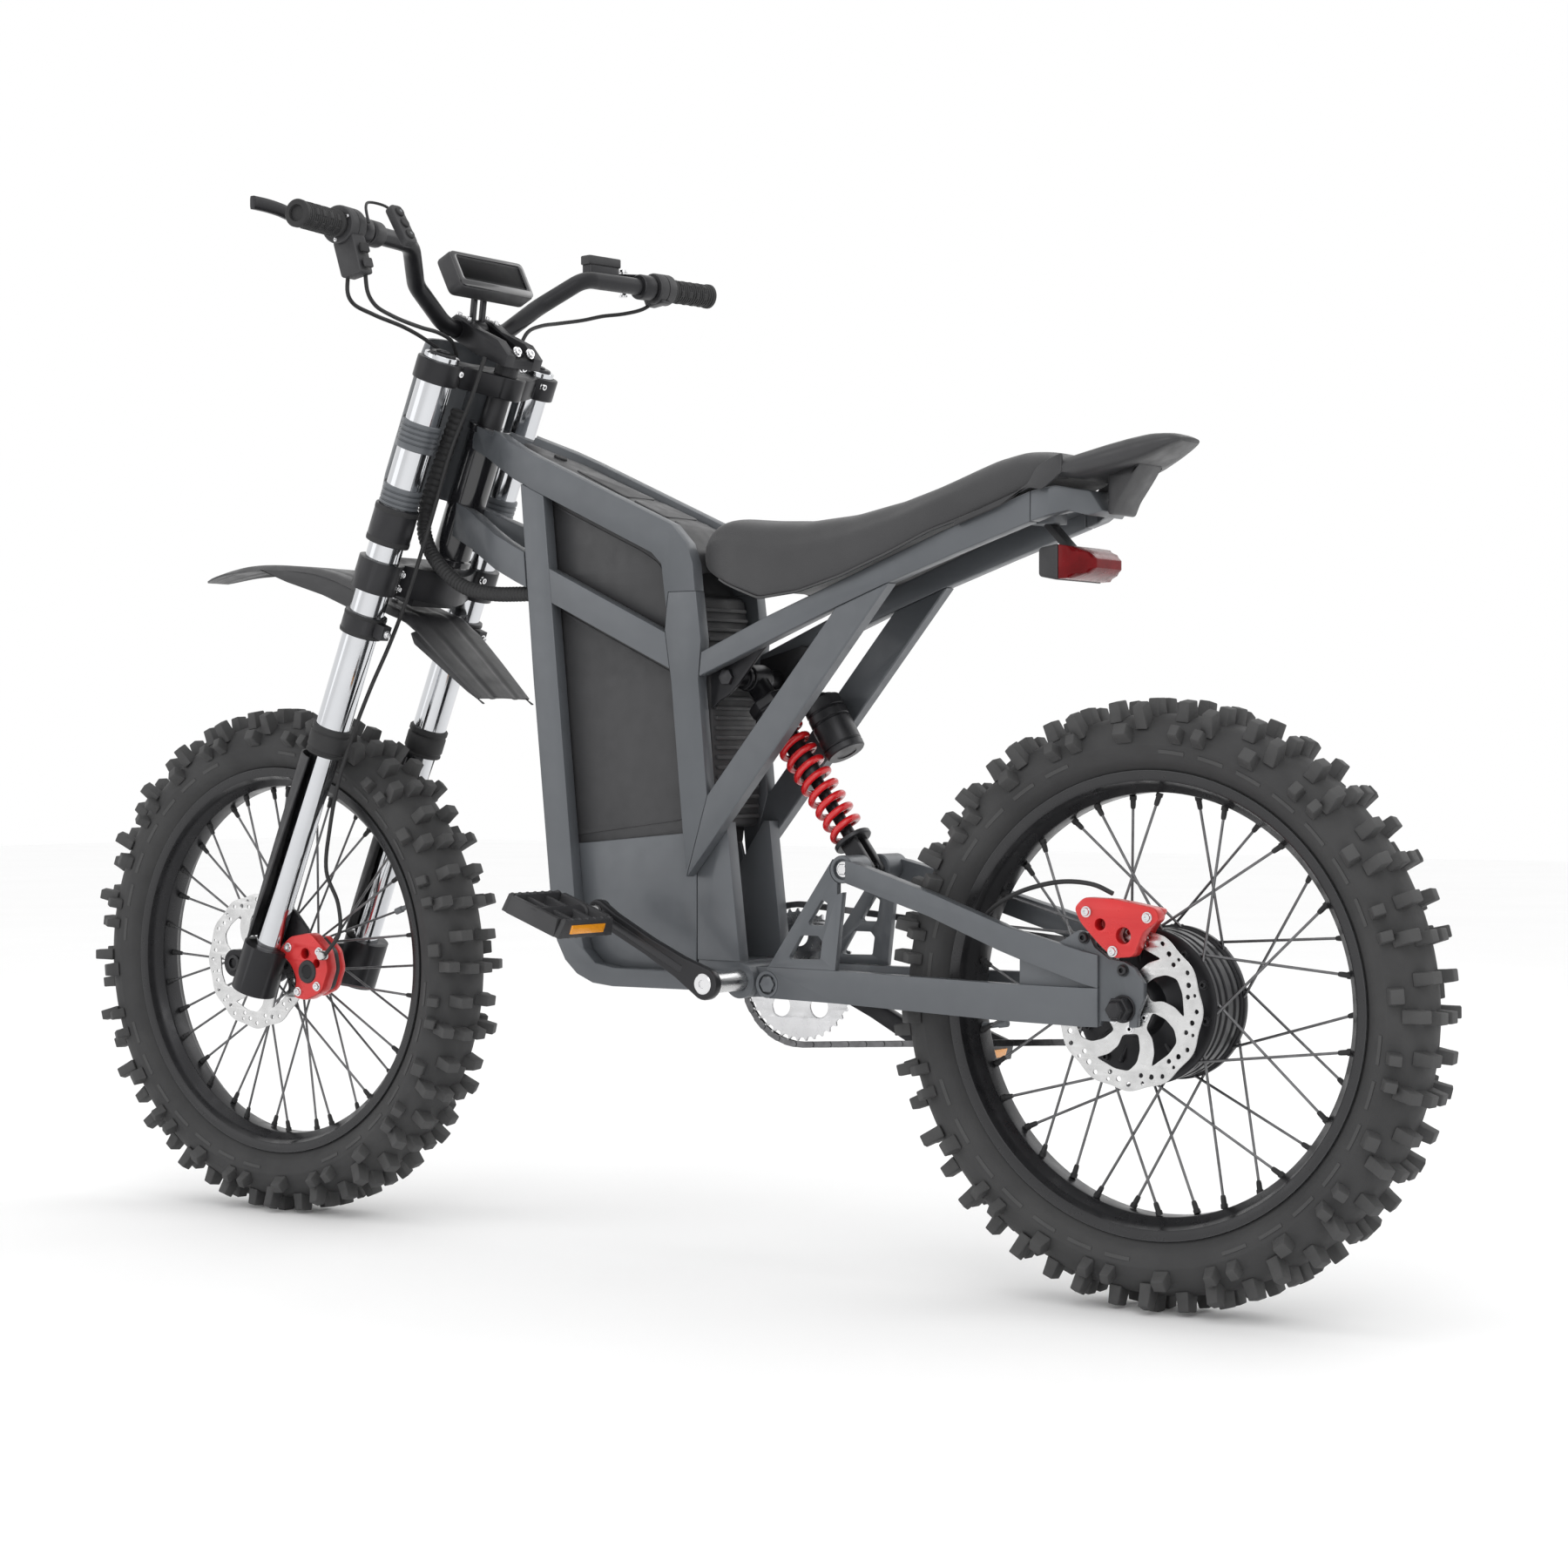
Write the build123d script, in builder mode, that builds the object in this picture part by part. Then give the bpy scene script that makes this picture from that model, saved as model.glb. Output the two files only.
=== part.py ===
from build123d import *
import math
import os

os.makedirs("parts", exist_ok=True)

# ---------------------------------------------------------------- dimensions
# All lengths in millimetres.  +X forward, +Y to the rider's left, +Z up,
# ground at Z = 0, origin midway between the axles.
WHEELBASE = 1294.4
AXLE_Z = 330.0            # axle height = tyre radius over the knobs
FRONT_X = WHEELBASE / 2
REAR_X = -WHEELBASE / 2
TYRE_R = 330.0            # over the knobs
TYRE_HALF = 50.0
RIM_R = 252.5             # flange radius of a 19 inch rim
RIM_HALF = 32.0
SPOKES = 36

RAKE_X, RAKE_Z = 0.3755, -0.9268      # unit vector down the fork legs
LEG_TOP = (300.9, 1092.6)             # x, z of a leg's top cap
LEG_Y = 91.0
STEER_OFFSET = 28.0                   # steering axis behind the legs
UPPER_TUBE_R = 22.0
STANCHION_R = 17.3
AXLE_AHEAD = 34.4                     # axle ahead of the leg line
AXLE_S = 822.0                        # distance of the axle down the leg
TUBE_END_S = 499.0
FORK_TRAVEL = 110.0

FRAME_Y = 70.0            # outer face of the side members
FRAME_T = 18.0            # width of the side members
BB = (-119.0, 336.0)      # crank axis, x, z
CRANK_R = 175.0
CRANK_ANGLE = 26.6        # left crank above horizontal, degrees
PIVOT = (-163.6, 333.7)   # swingarm pivot
LINK = (-267.8, 468.5)    # lower shock bolt on the swingarm
SHOCK_TOP = (-104.0, 689.0)
BOSS_Y = 58.0             # outer face of the swingarm at its pivot
DROP_Y = 87.0             # outer face of the dropouts
DISC_R = 88.0
FRONT_DISC_Y = 64.0
REAR_DISC_Y = 75.0
CHAIN_Y = -74.0           # middle plane of the chain
RING_R = 84.0             # chain centre line on the chainring
COG_R = 46.0              # chain centre line on the rear cog
GRIP_END = (254.7, 394.4, 1216.4)


# ------------------------------------------------------------------- helpers
def leg(s, ahead=0.0):
    """x, z of a point s down the fork leg line and ahead of it."""
    return (LEG_TOP[0] + RAKE_X * s - RAKE_Z * ahead,
            LEG_TOP[1] + RAKE_Z * s + RAKE_X * ahead)


def leg_plane(s, ahead=0.0, y=0.0):
    """Plane across the legs at s, its x axis ahead, its normal down the leg."""
    x, z = leg(s, ahead)
    return Plane(origin=(x, y, z), x_dir=(-RAKE_Z, 0, RAKE_X), z_dir=(RAKE_X, 0, RAKE_Z))


def side_plane(y):
    """Plane at y with local x = X and local y = Z, its normal towards -Y."""
    return Plane(origin=(0, y, 0), x_dir=(1, 0, 0), z_dir=(0, -1, 0))


def prism(points, y0, y1, radius=0.0, mode=Mode.ADD):
    """Side-view polygon of (x, z) points, filling y0 to y1."""
    with BuildSketch(side_plane(y1)) as sk:
        with BuildLine():
            Polyline(*points, close=True)
        make_face()
        if radius:
            fillet(sk.vertices(), radius)
    extrude(sk.sketch, amount=y1 - y0, mode=mode)


def plan(points, z0, z1, radius=0.0, mode=Mode.ADD):
    """Plan-view polygon of (x, y) points, filling z0 to z1."""
    with BuildSketch(Plane.XY.offset(z0)) as sk:
        with BuildLine():
            Polyline(*points, close=True)
        make_face()
        if radius:
            fillet(sk.vertices(), radius)
    extrude(sk.sketch, amount=z1 - z0, mode=mode)


def rod_y(x, z, r, y0, y1, mode=Mode.ADD):
    """Cylinder of radius r along Y."""
    with BuildSketch(side_plane(y1)) as sk:
        with Locations((x, z)):
            Circle(r)
    extrude(sk.sketch, amount=y1 - y0, mode=mode)


def hex_y(x, z, across, y0, y1, mode=Mode.ADD):
    """Hexagonal bar along Y."""
    with BuildSketch(side_plane(y1)) as sk:
        with Locations((x, z)):
            RegularPolygon(across / math.sqrt(3), 6)
    extrude(sk.sketch, amount=y1 - y0, mode=mode)


def spin_y(points, x, z=AXLE_Z, mode=Mode.ADD):
    """Ring turned about the Y line through x, z, from (y, radius) points."""
    with BuildSketch(Plane(origin=(x, 0, z), x_dir=(0, 1, 0), z_dir=(1, 0, 0))) as sk:
        with BuildLine():
            Polyline(*points, close=True)
        make_face()
    revolve(sk.sketch, axis=Axis((x, 0, z), (0, 1, 0)), revolution_arc=360, mode=mode)


def leg_tube(s0, s1, r, y, ahead=0.0, hole=0.0, mode=Mode.ADD):
    """Tube along a fork leg from s0 to s1."""
    with BuildSketch(leg_plane(s0, ahead, y)) as sk:
        Circle(r)
        if hole:
            Circle(hole, mode=Mode.SUBTRACT)
    extrude(sk.sketch, amount=s1 - s0, mode=mode)


def bar(p0, p1, w, h, up=(0, 0, 1), round_r=0.0, mode=Mode.ADD):
    """Straight bar of section w (sideways) by h (towards up) from p0 to p1."""
    a, b = Vector(*p0), Vector(*p1)
    d = (b - a).normalized()
    side = Vector(*up).cross(d).normalized()
    with BuildSketch(Plane(origin=a, x_dir=side, z_dir=d)) as sk:
        if round_r:
            RectangleRounded(w, h, round_r)
        else:
            Rectangle(w, h)
    extrude(sk.sketch, amount=(b - a).length, mode=mode)


def rod(p0, p1, r, mode=Mode.ADD):
    """Cylinder from p0 to p1."""
    a, b = Vector(*p0), Vector(*p1)
    with BuildSketch(Plane(origin=a, z_dir=(b - a).normalized())) as sk:
        Circle(r)
    extrude(sk.sketch, amount=(b - a).length, mode=mode)


def corner_radii(points, shorten=0.45):
    """Fillet radius of each corner: 0.45 of its shorter run over tan(half turn)."""
    out = []
    for i in range(1, len(points) - 1):
        a = Vector(*points[i]) - Vector(*points[i - 1])
        b = Vector(*points[i + 1]) - Vector(*points[i])
        turn = math.radians(a.get_angle(b))
        out.append(shorten * min(a.length, b.length) / math.tan(turn / 2))
    return out


def cable(points, r, mode=Mode.ADD):
    """Round cable along straight runs joined by tangent arcs."""
    radii = corner_radii(points)
    with BuildLine() as path:
        FilletPolyline(*points, radius=radii)
    length = path.wire().length
    start = Vector(*points[0])
    d = (Vector(*points[1]) - start).normalized()
    with BuildSketch(Plane(origin=start, z_dir=d)) as sk:
        Circle(r)
    sweep(sk.sketch, path=path.wire(), mode=mode)
    print("cable r %.1f length %.0f mm, radii %s" % (r, length, [round(v) for v in radii]))
    return math.pi * r * r * length


def save(builder, label):
    """Name the piece and write its STEP file."""
    builder.part.label = label
    export_step(builder.part, "parts/" + label + ".step")


def save_group(label, *builders):
    """Write several pieces of one welded or bolted group as one node."""
    with BuildPart() as group:
        for b in builders:
            add(b.part)
    save(group, label)


# --------------------------------------------------------------- front frame
HEAD_TOP_S, HEAD_LOW_S = 86.0, 250.0     # distances down the steering axis
HEAD_R = 24.5

with BuildPart() as head_tube:
    # tube body with a bore for the steerer, and a bearing cup at each end
    leg_tube(HEAD_TOP_S, HEAD_LOW_S, HEAD_R, 0, -STEER_OFFSET, hole=16.0)
    leg_tube(HEAD_TOP_S - 9, HEAD_TOP_S, HEAD_R + 2.5, 0, -STEER_OFFSET, hole=15.05)
    leg_tube(HEAD_LOW_S, HEAD_LOW_S + 9, HEAD_R + 2.5, 0, -STEER_OFFSET, hole=15.05)
save(head_tube, "head_tube")

# Plan of the side rails: parallel at the tank, swept in to the head tube.
RAIL_PLAN = [(-140, FRAME_Y), (178, FRAME_Y), (214, FRAME_Y - 5), (248, FRAME_Y - 21),
             (282, 32), (345, 16), (345, 1.5), (276, 13), (232, 35), (200, 47.5), (170, FRAME_Y - FRAME_T),
             (-140, FRAME_Y - FRAME_T)]

with BuildPart() as frame_rails:
    # top rails with the rounded rear corner
    with BuildSketch(side_plane(FRAME_Y)) as sk_top:
        with BuildLine():
            Polyline((345, 1036.6), (-35, 869), (-57, 846), (-66, 822), (-69.4, 790), (-30.0, 790), (-27.0, 772),
                     (-24.5, 790), (-20, 823), (-5.5, 837), (345, 996.5), close=True)
        make_face()
    extrude(sk_top.sketch, amount=2 * FRAME_Y)
    with BuildSketch(Plane.XY.offset(700)) as sk_plan:
        for s in (1, -1):
            with BuildLine():
                Polyline(*[(x, s * y) for x, y in RAIL_PLAN], close=True)
            make_face()
    extrude(sk_plan.sketch, amount=400, mode=Mode.INTERSECT)
    leg_tube(-60, 400, HEAD_R + 0.05, 0, -STEER_OFFSET, mode=Mode.SUBTRACT)
    leg_tube(-200, HEAD_TOP_S - 8, 60, 0, -STEER_OFFSET, mode=Mode.SUBTRACT)
    leg_tube(HEAD_TOP_S - 10, HEAD_TOP_S + 0.1, HEAD_R + 2.6, 0, -STEER_OFFSET, mode=Mode.SUBTRACT)
    leg_tube(HEAD_LOW_S - 0.1, HEAD_LOW_S + 10, HEAD_R + 2.6, 0, -STEER_OFFSET, mode=Mode.SUBTRACT)
    # nothing of the rails stays ahead of the head tube
    with BuildSketch(leg_plane(0, 0)) as sk_cut:
        Rectangle(60, 160, align=(Align.MIN, Align.CENTER))
    extrude(sk_cut.sketch, amount=500, both=True, mode=Mode.SUBTRACT)
    with BuildSketch(leg_plane(0, -STEER_OFFSET)) as sk_cut:
        Rectangle(60, 160, align=(Align.MIN, Align.CENTER))
    extrude(sk_cut.sketch, amount=500, both=True, mode=Mode.SUBTRACT)

with BuildPart() as mid_rails:
    # lower head rails, then the brace across the battery opening
    with BuildSketch(side_plane(FRAME_Y)) as sk_low:
        with BuildLine():
            Polyline((190.5, 845), (350, 921), (420, 954), (420, 909), (350, 875), (186.8, 802), close=True)
        make_face()
    extrude(sk_low.sketch, amount=2 * FRAME_Y)
    with BuildSketch(Plane.XY.offset(700)) as sk_plan:
        for s in (1, -1):
            with BuildLine():
                Polyline(*[(x + 26, s * y) for x, y in RAIL_PLAN], close=True)
            make_face()
    extrude(sk_plan.sketch, amount=400, mode=Mode.INTERSECT)
    leg_tube(-60, 400, HEAD_R + 0.05, 0, -STEER_OFFSET, mode=Mode.SUBTRACT)
    with BuildSketch(leg_plane(0, -STEER_OFFSET)) as sk_cut:
        Rectangle(160, 160, align=(Align.MIN, Align.CENTER))
    extrude(sk_cut.sketch, amount=500, both=True, mode=Mode.SUBTRACT)
    prism([(150.9, 823.6), (-25.0, 742.4), (-31.7, 700), (146.8, 782.0)], FRAME_Y - FRAME_T, FRAME_Y)
    prism([(150.9, 823.6), (-25.0, 742.4), (-31.7, 700), (146.8, 782.0)], -FRAME_Y, -FRAME_Y + FRAME_T)
save_group("upper_frame", frame_rails, mid_rails)

with BuildPart() as frame_posts:
    for y0 in (FRAME_Y - FRAME_T, -FRAME_Y):
        y1 = y0 + FRAME_T
        # front posts
        prism([(195.6, 928.3), (175.3, 690), (149.5, 435), (144, 400), (106, 400), (111.5, 425), (135.5, 669), (159.9, 912.0)], y0, y1)
        # rear posts
        prism([(-27.5, 770), (-25.0, 745), (-34, 687), (-56.3, 455.4), (-86.5, 551), (-73.5, 686), (-77.5, 732), (-70.2, 789.8), (-30.3, 789.8)], y0, y1)
        # belly arcs
        prism([(144, 399.8), (139, 375), (126, 352), (108, 336), (84, 326), (54, 323), (-88, 324), (-88, 345),
               (50, 345), (80, 350), (97, 366), (106, 399.8)], y0, y1)

with BuildPart() as subframe:
    for y0, inner in ((FRAME_Y - FRAME_T, 1), (-FRAME_Y, -1)):
        y1 = y0 + FRAME_T
        # diagonal struts, from the seat rails down to the rear posts
        prism([(-267.3, 764.6), (-86.8, 551.5), (-57.2, 456.2), (-339.5, 790.6), (-333, 788.6)], y0, y1)
        # seat rails
        prism([(-78.0, 718.5), (-170, 757), (-400, 842), (-522, 884), (-522, 850.7), (-426, 820), (-333, 789), (-267, 765), (-167, 726), (-74.6, 690)], y0, y1)

with BuildPart() as bottom_bracket:
    # crank bearing shell, bored for the spindle
    rod_y(BB[0], BB[1], 21.0, -50, 50)
    prism([(BB[0] - 5, 317), (-150, 317), (-150, 352), (BB[0] - 5, 352)], -36, 36)
    rod_y(PIVOT[0], PIVOT[1], 15.5, -37.5, 37.5)
    rod_y(BB[0], BB[1], 12.05, -60, 60, mode=Mode.SUBTRACT)
    prism([(-60, 346), (-121.5, 346), (-121, 358.5), (-60, 358.5)], -50, 50)
    rod_y(BB[0], BB[1], 12.05, -60, 60, mode=Mode.SUBTRACT)
    rod_y(PIVOT[0], PIVOT[1], 7.0, -60, 60, mode=Mode.SUBTRACT)

with BuildPart() as pivot_axle:
    # swingarm pivot bolt with a hexagonal head at each side
    rod_y(PIVOT[0], PIVOT[1], 6.95, -53, 53)
    hex_y(PIVOT[0], PIVOT[1], 17, 53, 57.5)
    hex_y(PIVOT[0], PIVOT[1], 17, -57.5, -53)
with BuildPart() as bracket_posts:
    # twin posts standing on the shell plate
    for y0 in (34, -52):
        prism([(-60, 358.6), (-121, 358.6), (-102, 520), (-94, 520), (-60, 470)], y0, y0 + 18)
save_group("bottom_bracket", bottom_bracket, bracket_posts, pivot_axle)

with BuildPart() as belly_panels:
    # side skins below the battery, set in from the posts
    belly = [(148, 489.5), (138, 400), (126, 370), (104, 348), (84, 340), (50, 336), (-58, 337), (-58, 466), (-47, 507)]
    prism(belly, FRAME_Y - FRAME_T - 5, FRAME_Y - FRAME_T - 0.3)
    prism(belly, -FRAME_Y + FRAME_T + 0.3, -FRAME_Y + FRAME_T + 5)
    # belly pan across the bottom
    prism([(102, 366), (84, 354), (50, 349), (-58, 349), (-58, 345.3), (50, 345.3), (84, 350.3), (106, 366)], -46.8, 46.8)
save_group("frame_posts", frame_posts, belly_panels)

# ------------------------------------------------------------------- battery
CASE = [(192, 924), (150, 906), (20, 848), (-25, 823), (-42, 788), (-58, 785), (-64, 745), (-77, 680), (-80, 560), (-78, 514), (-58, 512), (-56, 492), (144, 476), (166, 690), (180, 800)]
with BuildPart() as battery_case:
    prism(CASE, -46.5, 46.5)
    prism([(184, 911), (150, 897), (22, 840), (-19, 817), (-36, 782), (-52, 779), (-59, 743), (-72, 679), (-75, 560), (-73, 519.5), (-53, 518), (-51, 498), (139, 482), (160, 690), (174, 800)],
          -41.5, 41.5, mode=Mode.SUBTRACT)
    # cooling ribs on the rear face
    for k in range(14):
        z = 530 + 18 * k
        x = -79.5 + max(0.0, z - 560) * 2.5 / 120 + max(0.0, z - 680) * 13 / 65 - max(0.0, z - 680) * 2.5 / 120
        bar((x - 1.5, -40, z), (x - 1.5, 40, z), 6, 5)
save(battery_case, "battery_case")

with BuildPart() as battery_pack:
    # cell block and motor controller held inside the case
    prism([(112, 690), (-66, 690), (-71, 600), (-71, 536), (-60, 526), (94, 512)], -38, 38)
    prism([(118, 790), (0, 735), (-30, 700), (112, 700)], -34, 34)
save(battery_pack, "battery_pack")

with BuildPart() as tank_cover:
    # sloping top cover between the top rails, with two shallow steps
    prism([(240, 986), (150, 946.5), (20, 889.5), (-31, 866.5), (-50, 842), (-62, 815), (-62, 792), (-44, 792), (-28, 826), (20, 852), (150, 910), (214, 936)],
          -47.0, 47.0)
    plan([(260, 60), (178, 60), (204, 40), (246, 12), (260, 12)], 800, 1100, mode=Mode.SUBTRACT)
    plan([(260, -60), (178, -60), (204, -40), (246, -12), (260, -12)], 800, 1100, mode=Mode.SUBTRACT)
    prism([(60, 914), (58, 902), (70, 911.5)], -30, 30, mode=Mode.SUBTRACT)
    prism([(-10, 885), (-12, 872), (0, 881)], -30, 30, mode=Mode.SUBTRACT)
save(tank_cover, "tank_cover")

with BuildPart() as shock_mount:
    # gussets under the seat rails and the cross tube the shock hangs from
    for y0 in (46.7, -51.7):
        prism([(-79, 712), (-79.5, 652), (-92, 662), (-104, 668), (-118, 680), (-150, 716), (-158, 724), (-140, 728)], y0, y0 + 5)
    rod_y(SHOCK_TOP[0], SHOCK_TOP[1], 10.0, -46.6, 46.6)
    rod_y(SHOCK_TOP[0], SHOCK_TOP[1], 14.0, 16.0, 22.0)
    rod_y(SHOCK_TOP[0], SHOCK_TOP[1], 14.0, -22.0, -16.0)
    hex_y(SHOCK_TOP[0], SHOCK_TOP[1], 17, 51.7, 58)
    hex_y(SHOCK_TOP[0], SHOCK_TOP[1], 17, -58, -51.7)
save(shock_mount, "shock_mount")

# ------------------------------------------------------- seat, tail and lamp
SEAT_TOP = [(-52, 846), (-62, 857), (-93, 875), (-153, 872), (-213, 868), (-281, 873), (-350, 885), (-399, 899),
            (-437, 913), (-472, 925), (-503, 932), (-530, 930), (-553, 918)]
SEAT_LOW = [(-556, 896), (-530, 893), (-481, 872), (-400, 845), (-344, 822), (-221, 783), (-165, 777), (-112, 803), (-70, 830)]
with BuildPart() as seat:
    # long cushion: narrow nose, wide middle whose skirt hangs outside the rails
    prism(SEAT_TOP + SEAT_LOW, -82, 82)
    with BuildSketch(Plane.XY.offset(700)) as sk_seat:
        with BuildLine():
            Polyline((-50, 30), (-80, 56), (-130, 72), (-200, 80), (-400, 82), (-425, 71), (-530, 68), (-556, 48),
                     (-556, -48), (-530, -68), (-425, -71), (-400, -82), (-200, -80), (-130, -72), (-80, -56), (-50, -30), close=True)
        make_face()
    extrude(sk_seat.sketch, amount=400, mode=Mode.INTERSECT)
    # rebate that clears the seat rails
    prism([(-60, 700), (-62, 727), (-170, 759), (-400, 844), (-528, 888.5), (-600, 893), (-600, 700)], -70.6, 70.6, mode=Mode.SUBTRACT)
    prism([(-40, 870), (-57, 849), (-69, 822), (-72, 700), (-30, 700)], -71, 71, mode=Mode.SUBTRACT)
save(seat, "seat")

with BuildPart() as tail_fender:
    # beak behind the seat, tapering to its tip
    prism([(-558, 898), (-558, 921), (-600, 934), (-648, 944), (-683, 936), (-655, 917), (-610, 899), (-599, 891.5), (-566, 891.5)], -79, 79)
    with BuildSketch(Plane.XY.offset(850)) as sk_tail:
        with BuildLine():
            Polyline((-430, 79), (-560, 79), (-604, 62), (-645, 40), (-684, 22), (-684, -22), (-645, -40), (-604, -62),
                     (-560, -79), (-430, -79), close=True)
        make_face()
    extrude(sk_tail.sketch, amount=120, mode=Mode.INTERSECT)
    # straps that run forward along both sides of the seat
    for y0 in (71.8, -78.8):
        prism([(-430, 852), (-480, 880), (-520, 907), (-558, 921), (-566, 921), (-566, 893), (-540, 880), (-500, 866), (-450, 850)], y0, y0 + 7)
save(tail_fender, "tail_fender")

with BuildPart() as tail_light:
    # flat stem from the tail plate, and the lamp's back shell
    bar((-512.8, 0, 847.0), (-531, 0, 828), 22, 10, up=(1, 0, 0))
    prism([(-520, 792), (-545, 787), (-545, 828), (-520, 824)], -50, 50)
save(tail_light, "tail_light")

with BuildPart() as tail_lens:
    # faceted red lens facing rearwards
    prism([(-545.2, 789), (-545.2, 827), (-560, 822), (-582, 812), (-582, 800), (-566, 791)], -49, 49)
    with BuildSketch(Plane.XY.offset(700)) as sk_lens:
        with BuildLine():
            Polyline((-540, 50), (-556, 48), (-582, 28), (-582, -28), (-556, -48), (-540, -50), close=True)
        make_face()
    extrude(sk_lens.sketch, amount=200, mode=Mode.INTERSECT)
save(tail_lens, "tail_lens")

with BuildPart() as tail_plate:
    # cross plate between the seat rails that carries the tail lamp
    prism([(-478, 858), (-526, 874), (-526, 869), (-478, 853)], -51.9, 51.9)
    prism([(-497, 852), (-521, 852), (-521, 868), (-497, 860)], -14, 14)

with BuildPart() as tail_bow:
    # tail of the subframe, drawn in from both rails to a short end face
    prism([(-522.3, 884), (-550, 889), (-578, 884), (-588, 862), (-576, 857), (-560, 862), (-522.3, 850.8)], -70, 70)
    with BuildSketch(Plane.XY.offset(800)) as sk_bow:
        with BuildLine():
            Polyline((-522.3, 70), (-544, 68), (-566, 50), (-590, 24), (-590, -24), (-566, -50), (-544, -68), (-522.3, -70),
                     (-522.3, -52.5), (-538, -51), (-552, -40), (-572, -16), (-572, 16), (-552, 40), (-538, 51), (-522.3, 52.5), close=True)
        make_face()
    extrude(sk_bow.sketch, amount=200, mode=Mode.INTERSECT)
save_group("subframe", subframe, tail_plate, tail_bow)

# ------------------------------------------------------------------ swingarm
ARM_IN = 16.0
ARM_PLAN = [(-150, BOSS_Y), (-262, BOSS_Y), (-500, 97), (-604, 97), (-618, 91), (-618, DROP_Y + 0.2), (-516, DROP_Y + 0.2),
            (-500, 81), (-262, BOSS_Y - ARM_IN), (-150, BOSS_Y - ARM_IN)]


def arm_plan_cut():
    """Keep only what lies inside the two arms' plan outline."""
    with BuildSketch(Plane.XY.offset(200)) as sk:
        for s in (1, -1):
            with BuildLine():
                Polyline(*[(x, s * y) for x, y in ARM_PLAN], close=True)
            make_face()
    extrude(sk.sketch, amount=400, mode=Mode.INTERSECT)


with BuildPart() as swing_arms_upper:
    prism([(-258, 481.5), (-285, 477), (-400, 446), (-509, 413), (-618, 386), (-618, 351), (-524, 379), (-400, 420), (-279, 452), (-258, 458)], -100, 100)
    arm_plan_cut()
    rod_y(LINK[0], LINK[1], 16.1, -60, 60, mode=Mode.SUBTRACT)
    prism([(-255, 440), (-268.5, 440), (-268.5, 500), (-255, 500)], -60, 60, mode=Mode.SUBTRACT)

with BuildPart() as swing_arms_lower:
    prism([(-164, 354), (-374, 352), (-618, 350.8), (-618, 309.5), (-524, 311), (-164, 318)], -100, 100)
    arm_plan_cut()
    rod_y(PIVOT[0], PIVOT[1], 16.1, -60, 60, mode=Mode.SUBTRACT)
    prism([(-150, 300), (-164.5, 300), (-164.5, 360), (-150, 360)], -60, 60, mode=Mode.SUBTRACT)
save_group("swing_arms", swing_arms_upper, swing_arms_lower)

with BuildPart() as arm_plates:
    # pierced triangular side plates between the pivot and the shock bolt
    for y0 in (BOSS_Y - 8, -BOSS_Y):
        y1 = y0 + 8
        prism([(-255.5, 480), (-166, 354.3), (-259, 353.4), (-271, 453.5), (-284, 452.5)], y0, y1)
        prism([(-241, 434), (-249, 429.5), (-244.5, 404), (-220, 404)], y0, y1, radius=3, mode=Mode.SUBTRACT)
        prism([(-211.5, 392), (-236, 392), (-241.5, 386), (-238.5, 365), (-193.5, 364)], y0, y1, radius=3, mode=Mode.SUBTRACT)
    rod_y(LINK[0], LINK[1], 16.1, -60, 60, mode=Mode.SUBTRACT)
    prism([(-262, 440), (-300, 452.6), (-300, 500), (-262, 500)], -60, 60, mode=Mode.SUBTRACT)

with BuildPart() as arm_bosses:
    # bearing bosses at the pivot and at the shock bolt, recessed outside
    for y0, y1 in ((38.5, BOSS_Y), (-BOSS_Y, -38.5)):
        rod_y(PIVOT[0], PIVOT[1], 16.0, y0, y1)
        rod_y(PIVOT[0], PIVOT[1], 11.5, 52.9 if y0 > 0 else y0, y1 if y0 > 0 else -52.9, mode=Mode.SUBTRACT)
    for y0, y1 in ((17.0, BOSS_Y), (-BOSS_Y, -17.0)):
        rod_y(LINK[0], LINK[1], 16.0, y0, y1)
        rod_y(LINK[0], LINK[1], 11.5, 52.9 if y0 > 0 else y0, y1 if y0 > 0 else -52.9, mode=Mode.SUBTRACT)
    rod_y(PIVOT[0], PIVOT[1], 7.0, -60, 60, mode=Mode.SUBTRACT)
    rod_y(LINK[0], LINK[1], 6.0, -60, 60, mode=Mode.SUBTRACT)

with BuildPart() as link_bolt:
    rod_y(LINK[0], LINK[1], 6.0, -53, 53)
    hex_y(LINK[0], LINK[1], 17, 53, 57.5)
    hex_y(LINK[0], LINK[1], 17, -57.5, -53)
save_group("arm_bosses", arm_bosses, link_bolt)

with BuildPart() as dropouts:
    # axle plates with the open slot below, and the brake mounting ears
    for y0 in (DROP_Y - 8, -DROP_Y):
        prism([(-520, 380), (-568, 397), (-592, 411), (-604, 409), (-612, 394), (-630, 382), (-648, 380), (-659, 374), (-671, 358),
               (-671, 341), (-664, 325), (-663, 311), (-641, 310), (-641, 316), (-620, 316), (-618, 310), (-520, 312)], y0, y0 + 8)
    rod_y(REAR_X, AXLE_Z, 7.05, -100, 100, mode=Mode.SUBTRACT)
    prism([(-633, 304), (-654, 304), (-654.2, 330), (-640.2, 330)], -100, 100, mode=Mode.SUBTRACT)
    rod_y(-600, 405, 3.0, 70, 90, mode=Mode.SUBTRACT)
    rod_y(-645, 372, 3.0, 70, 90, mode=Mode.SUBTRACT)
save_group("arm_plates", arm_plates, dropouts)

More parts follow.
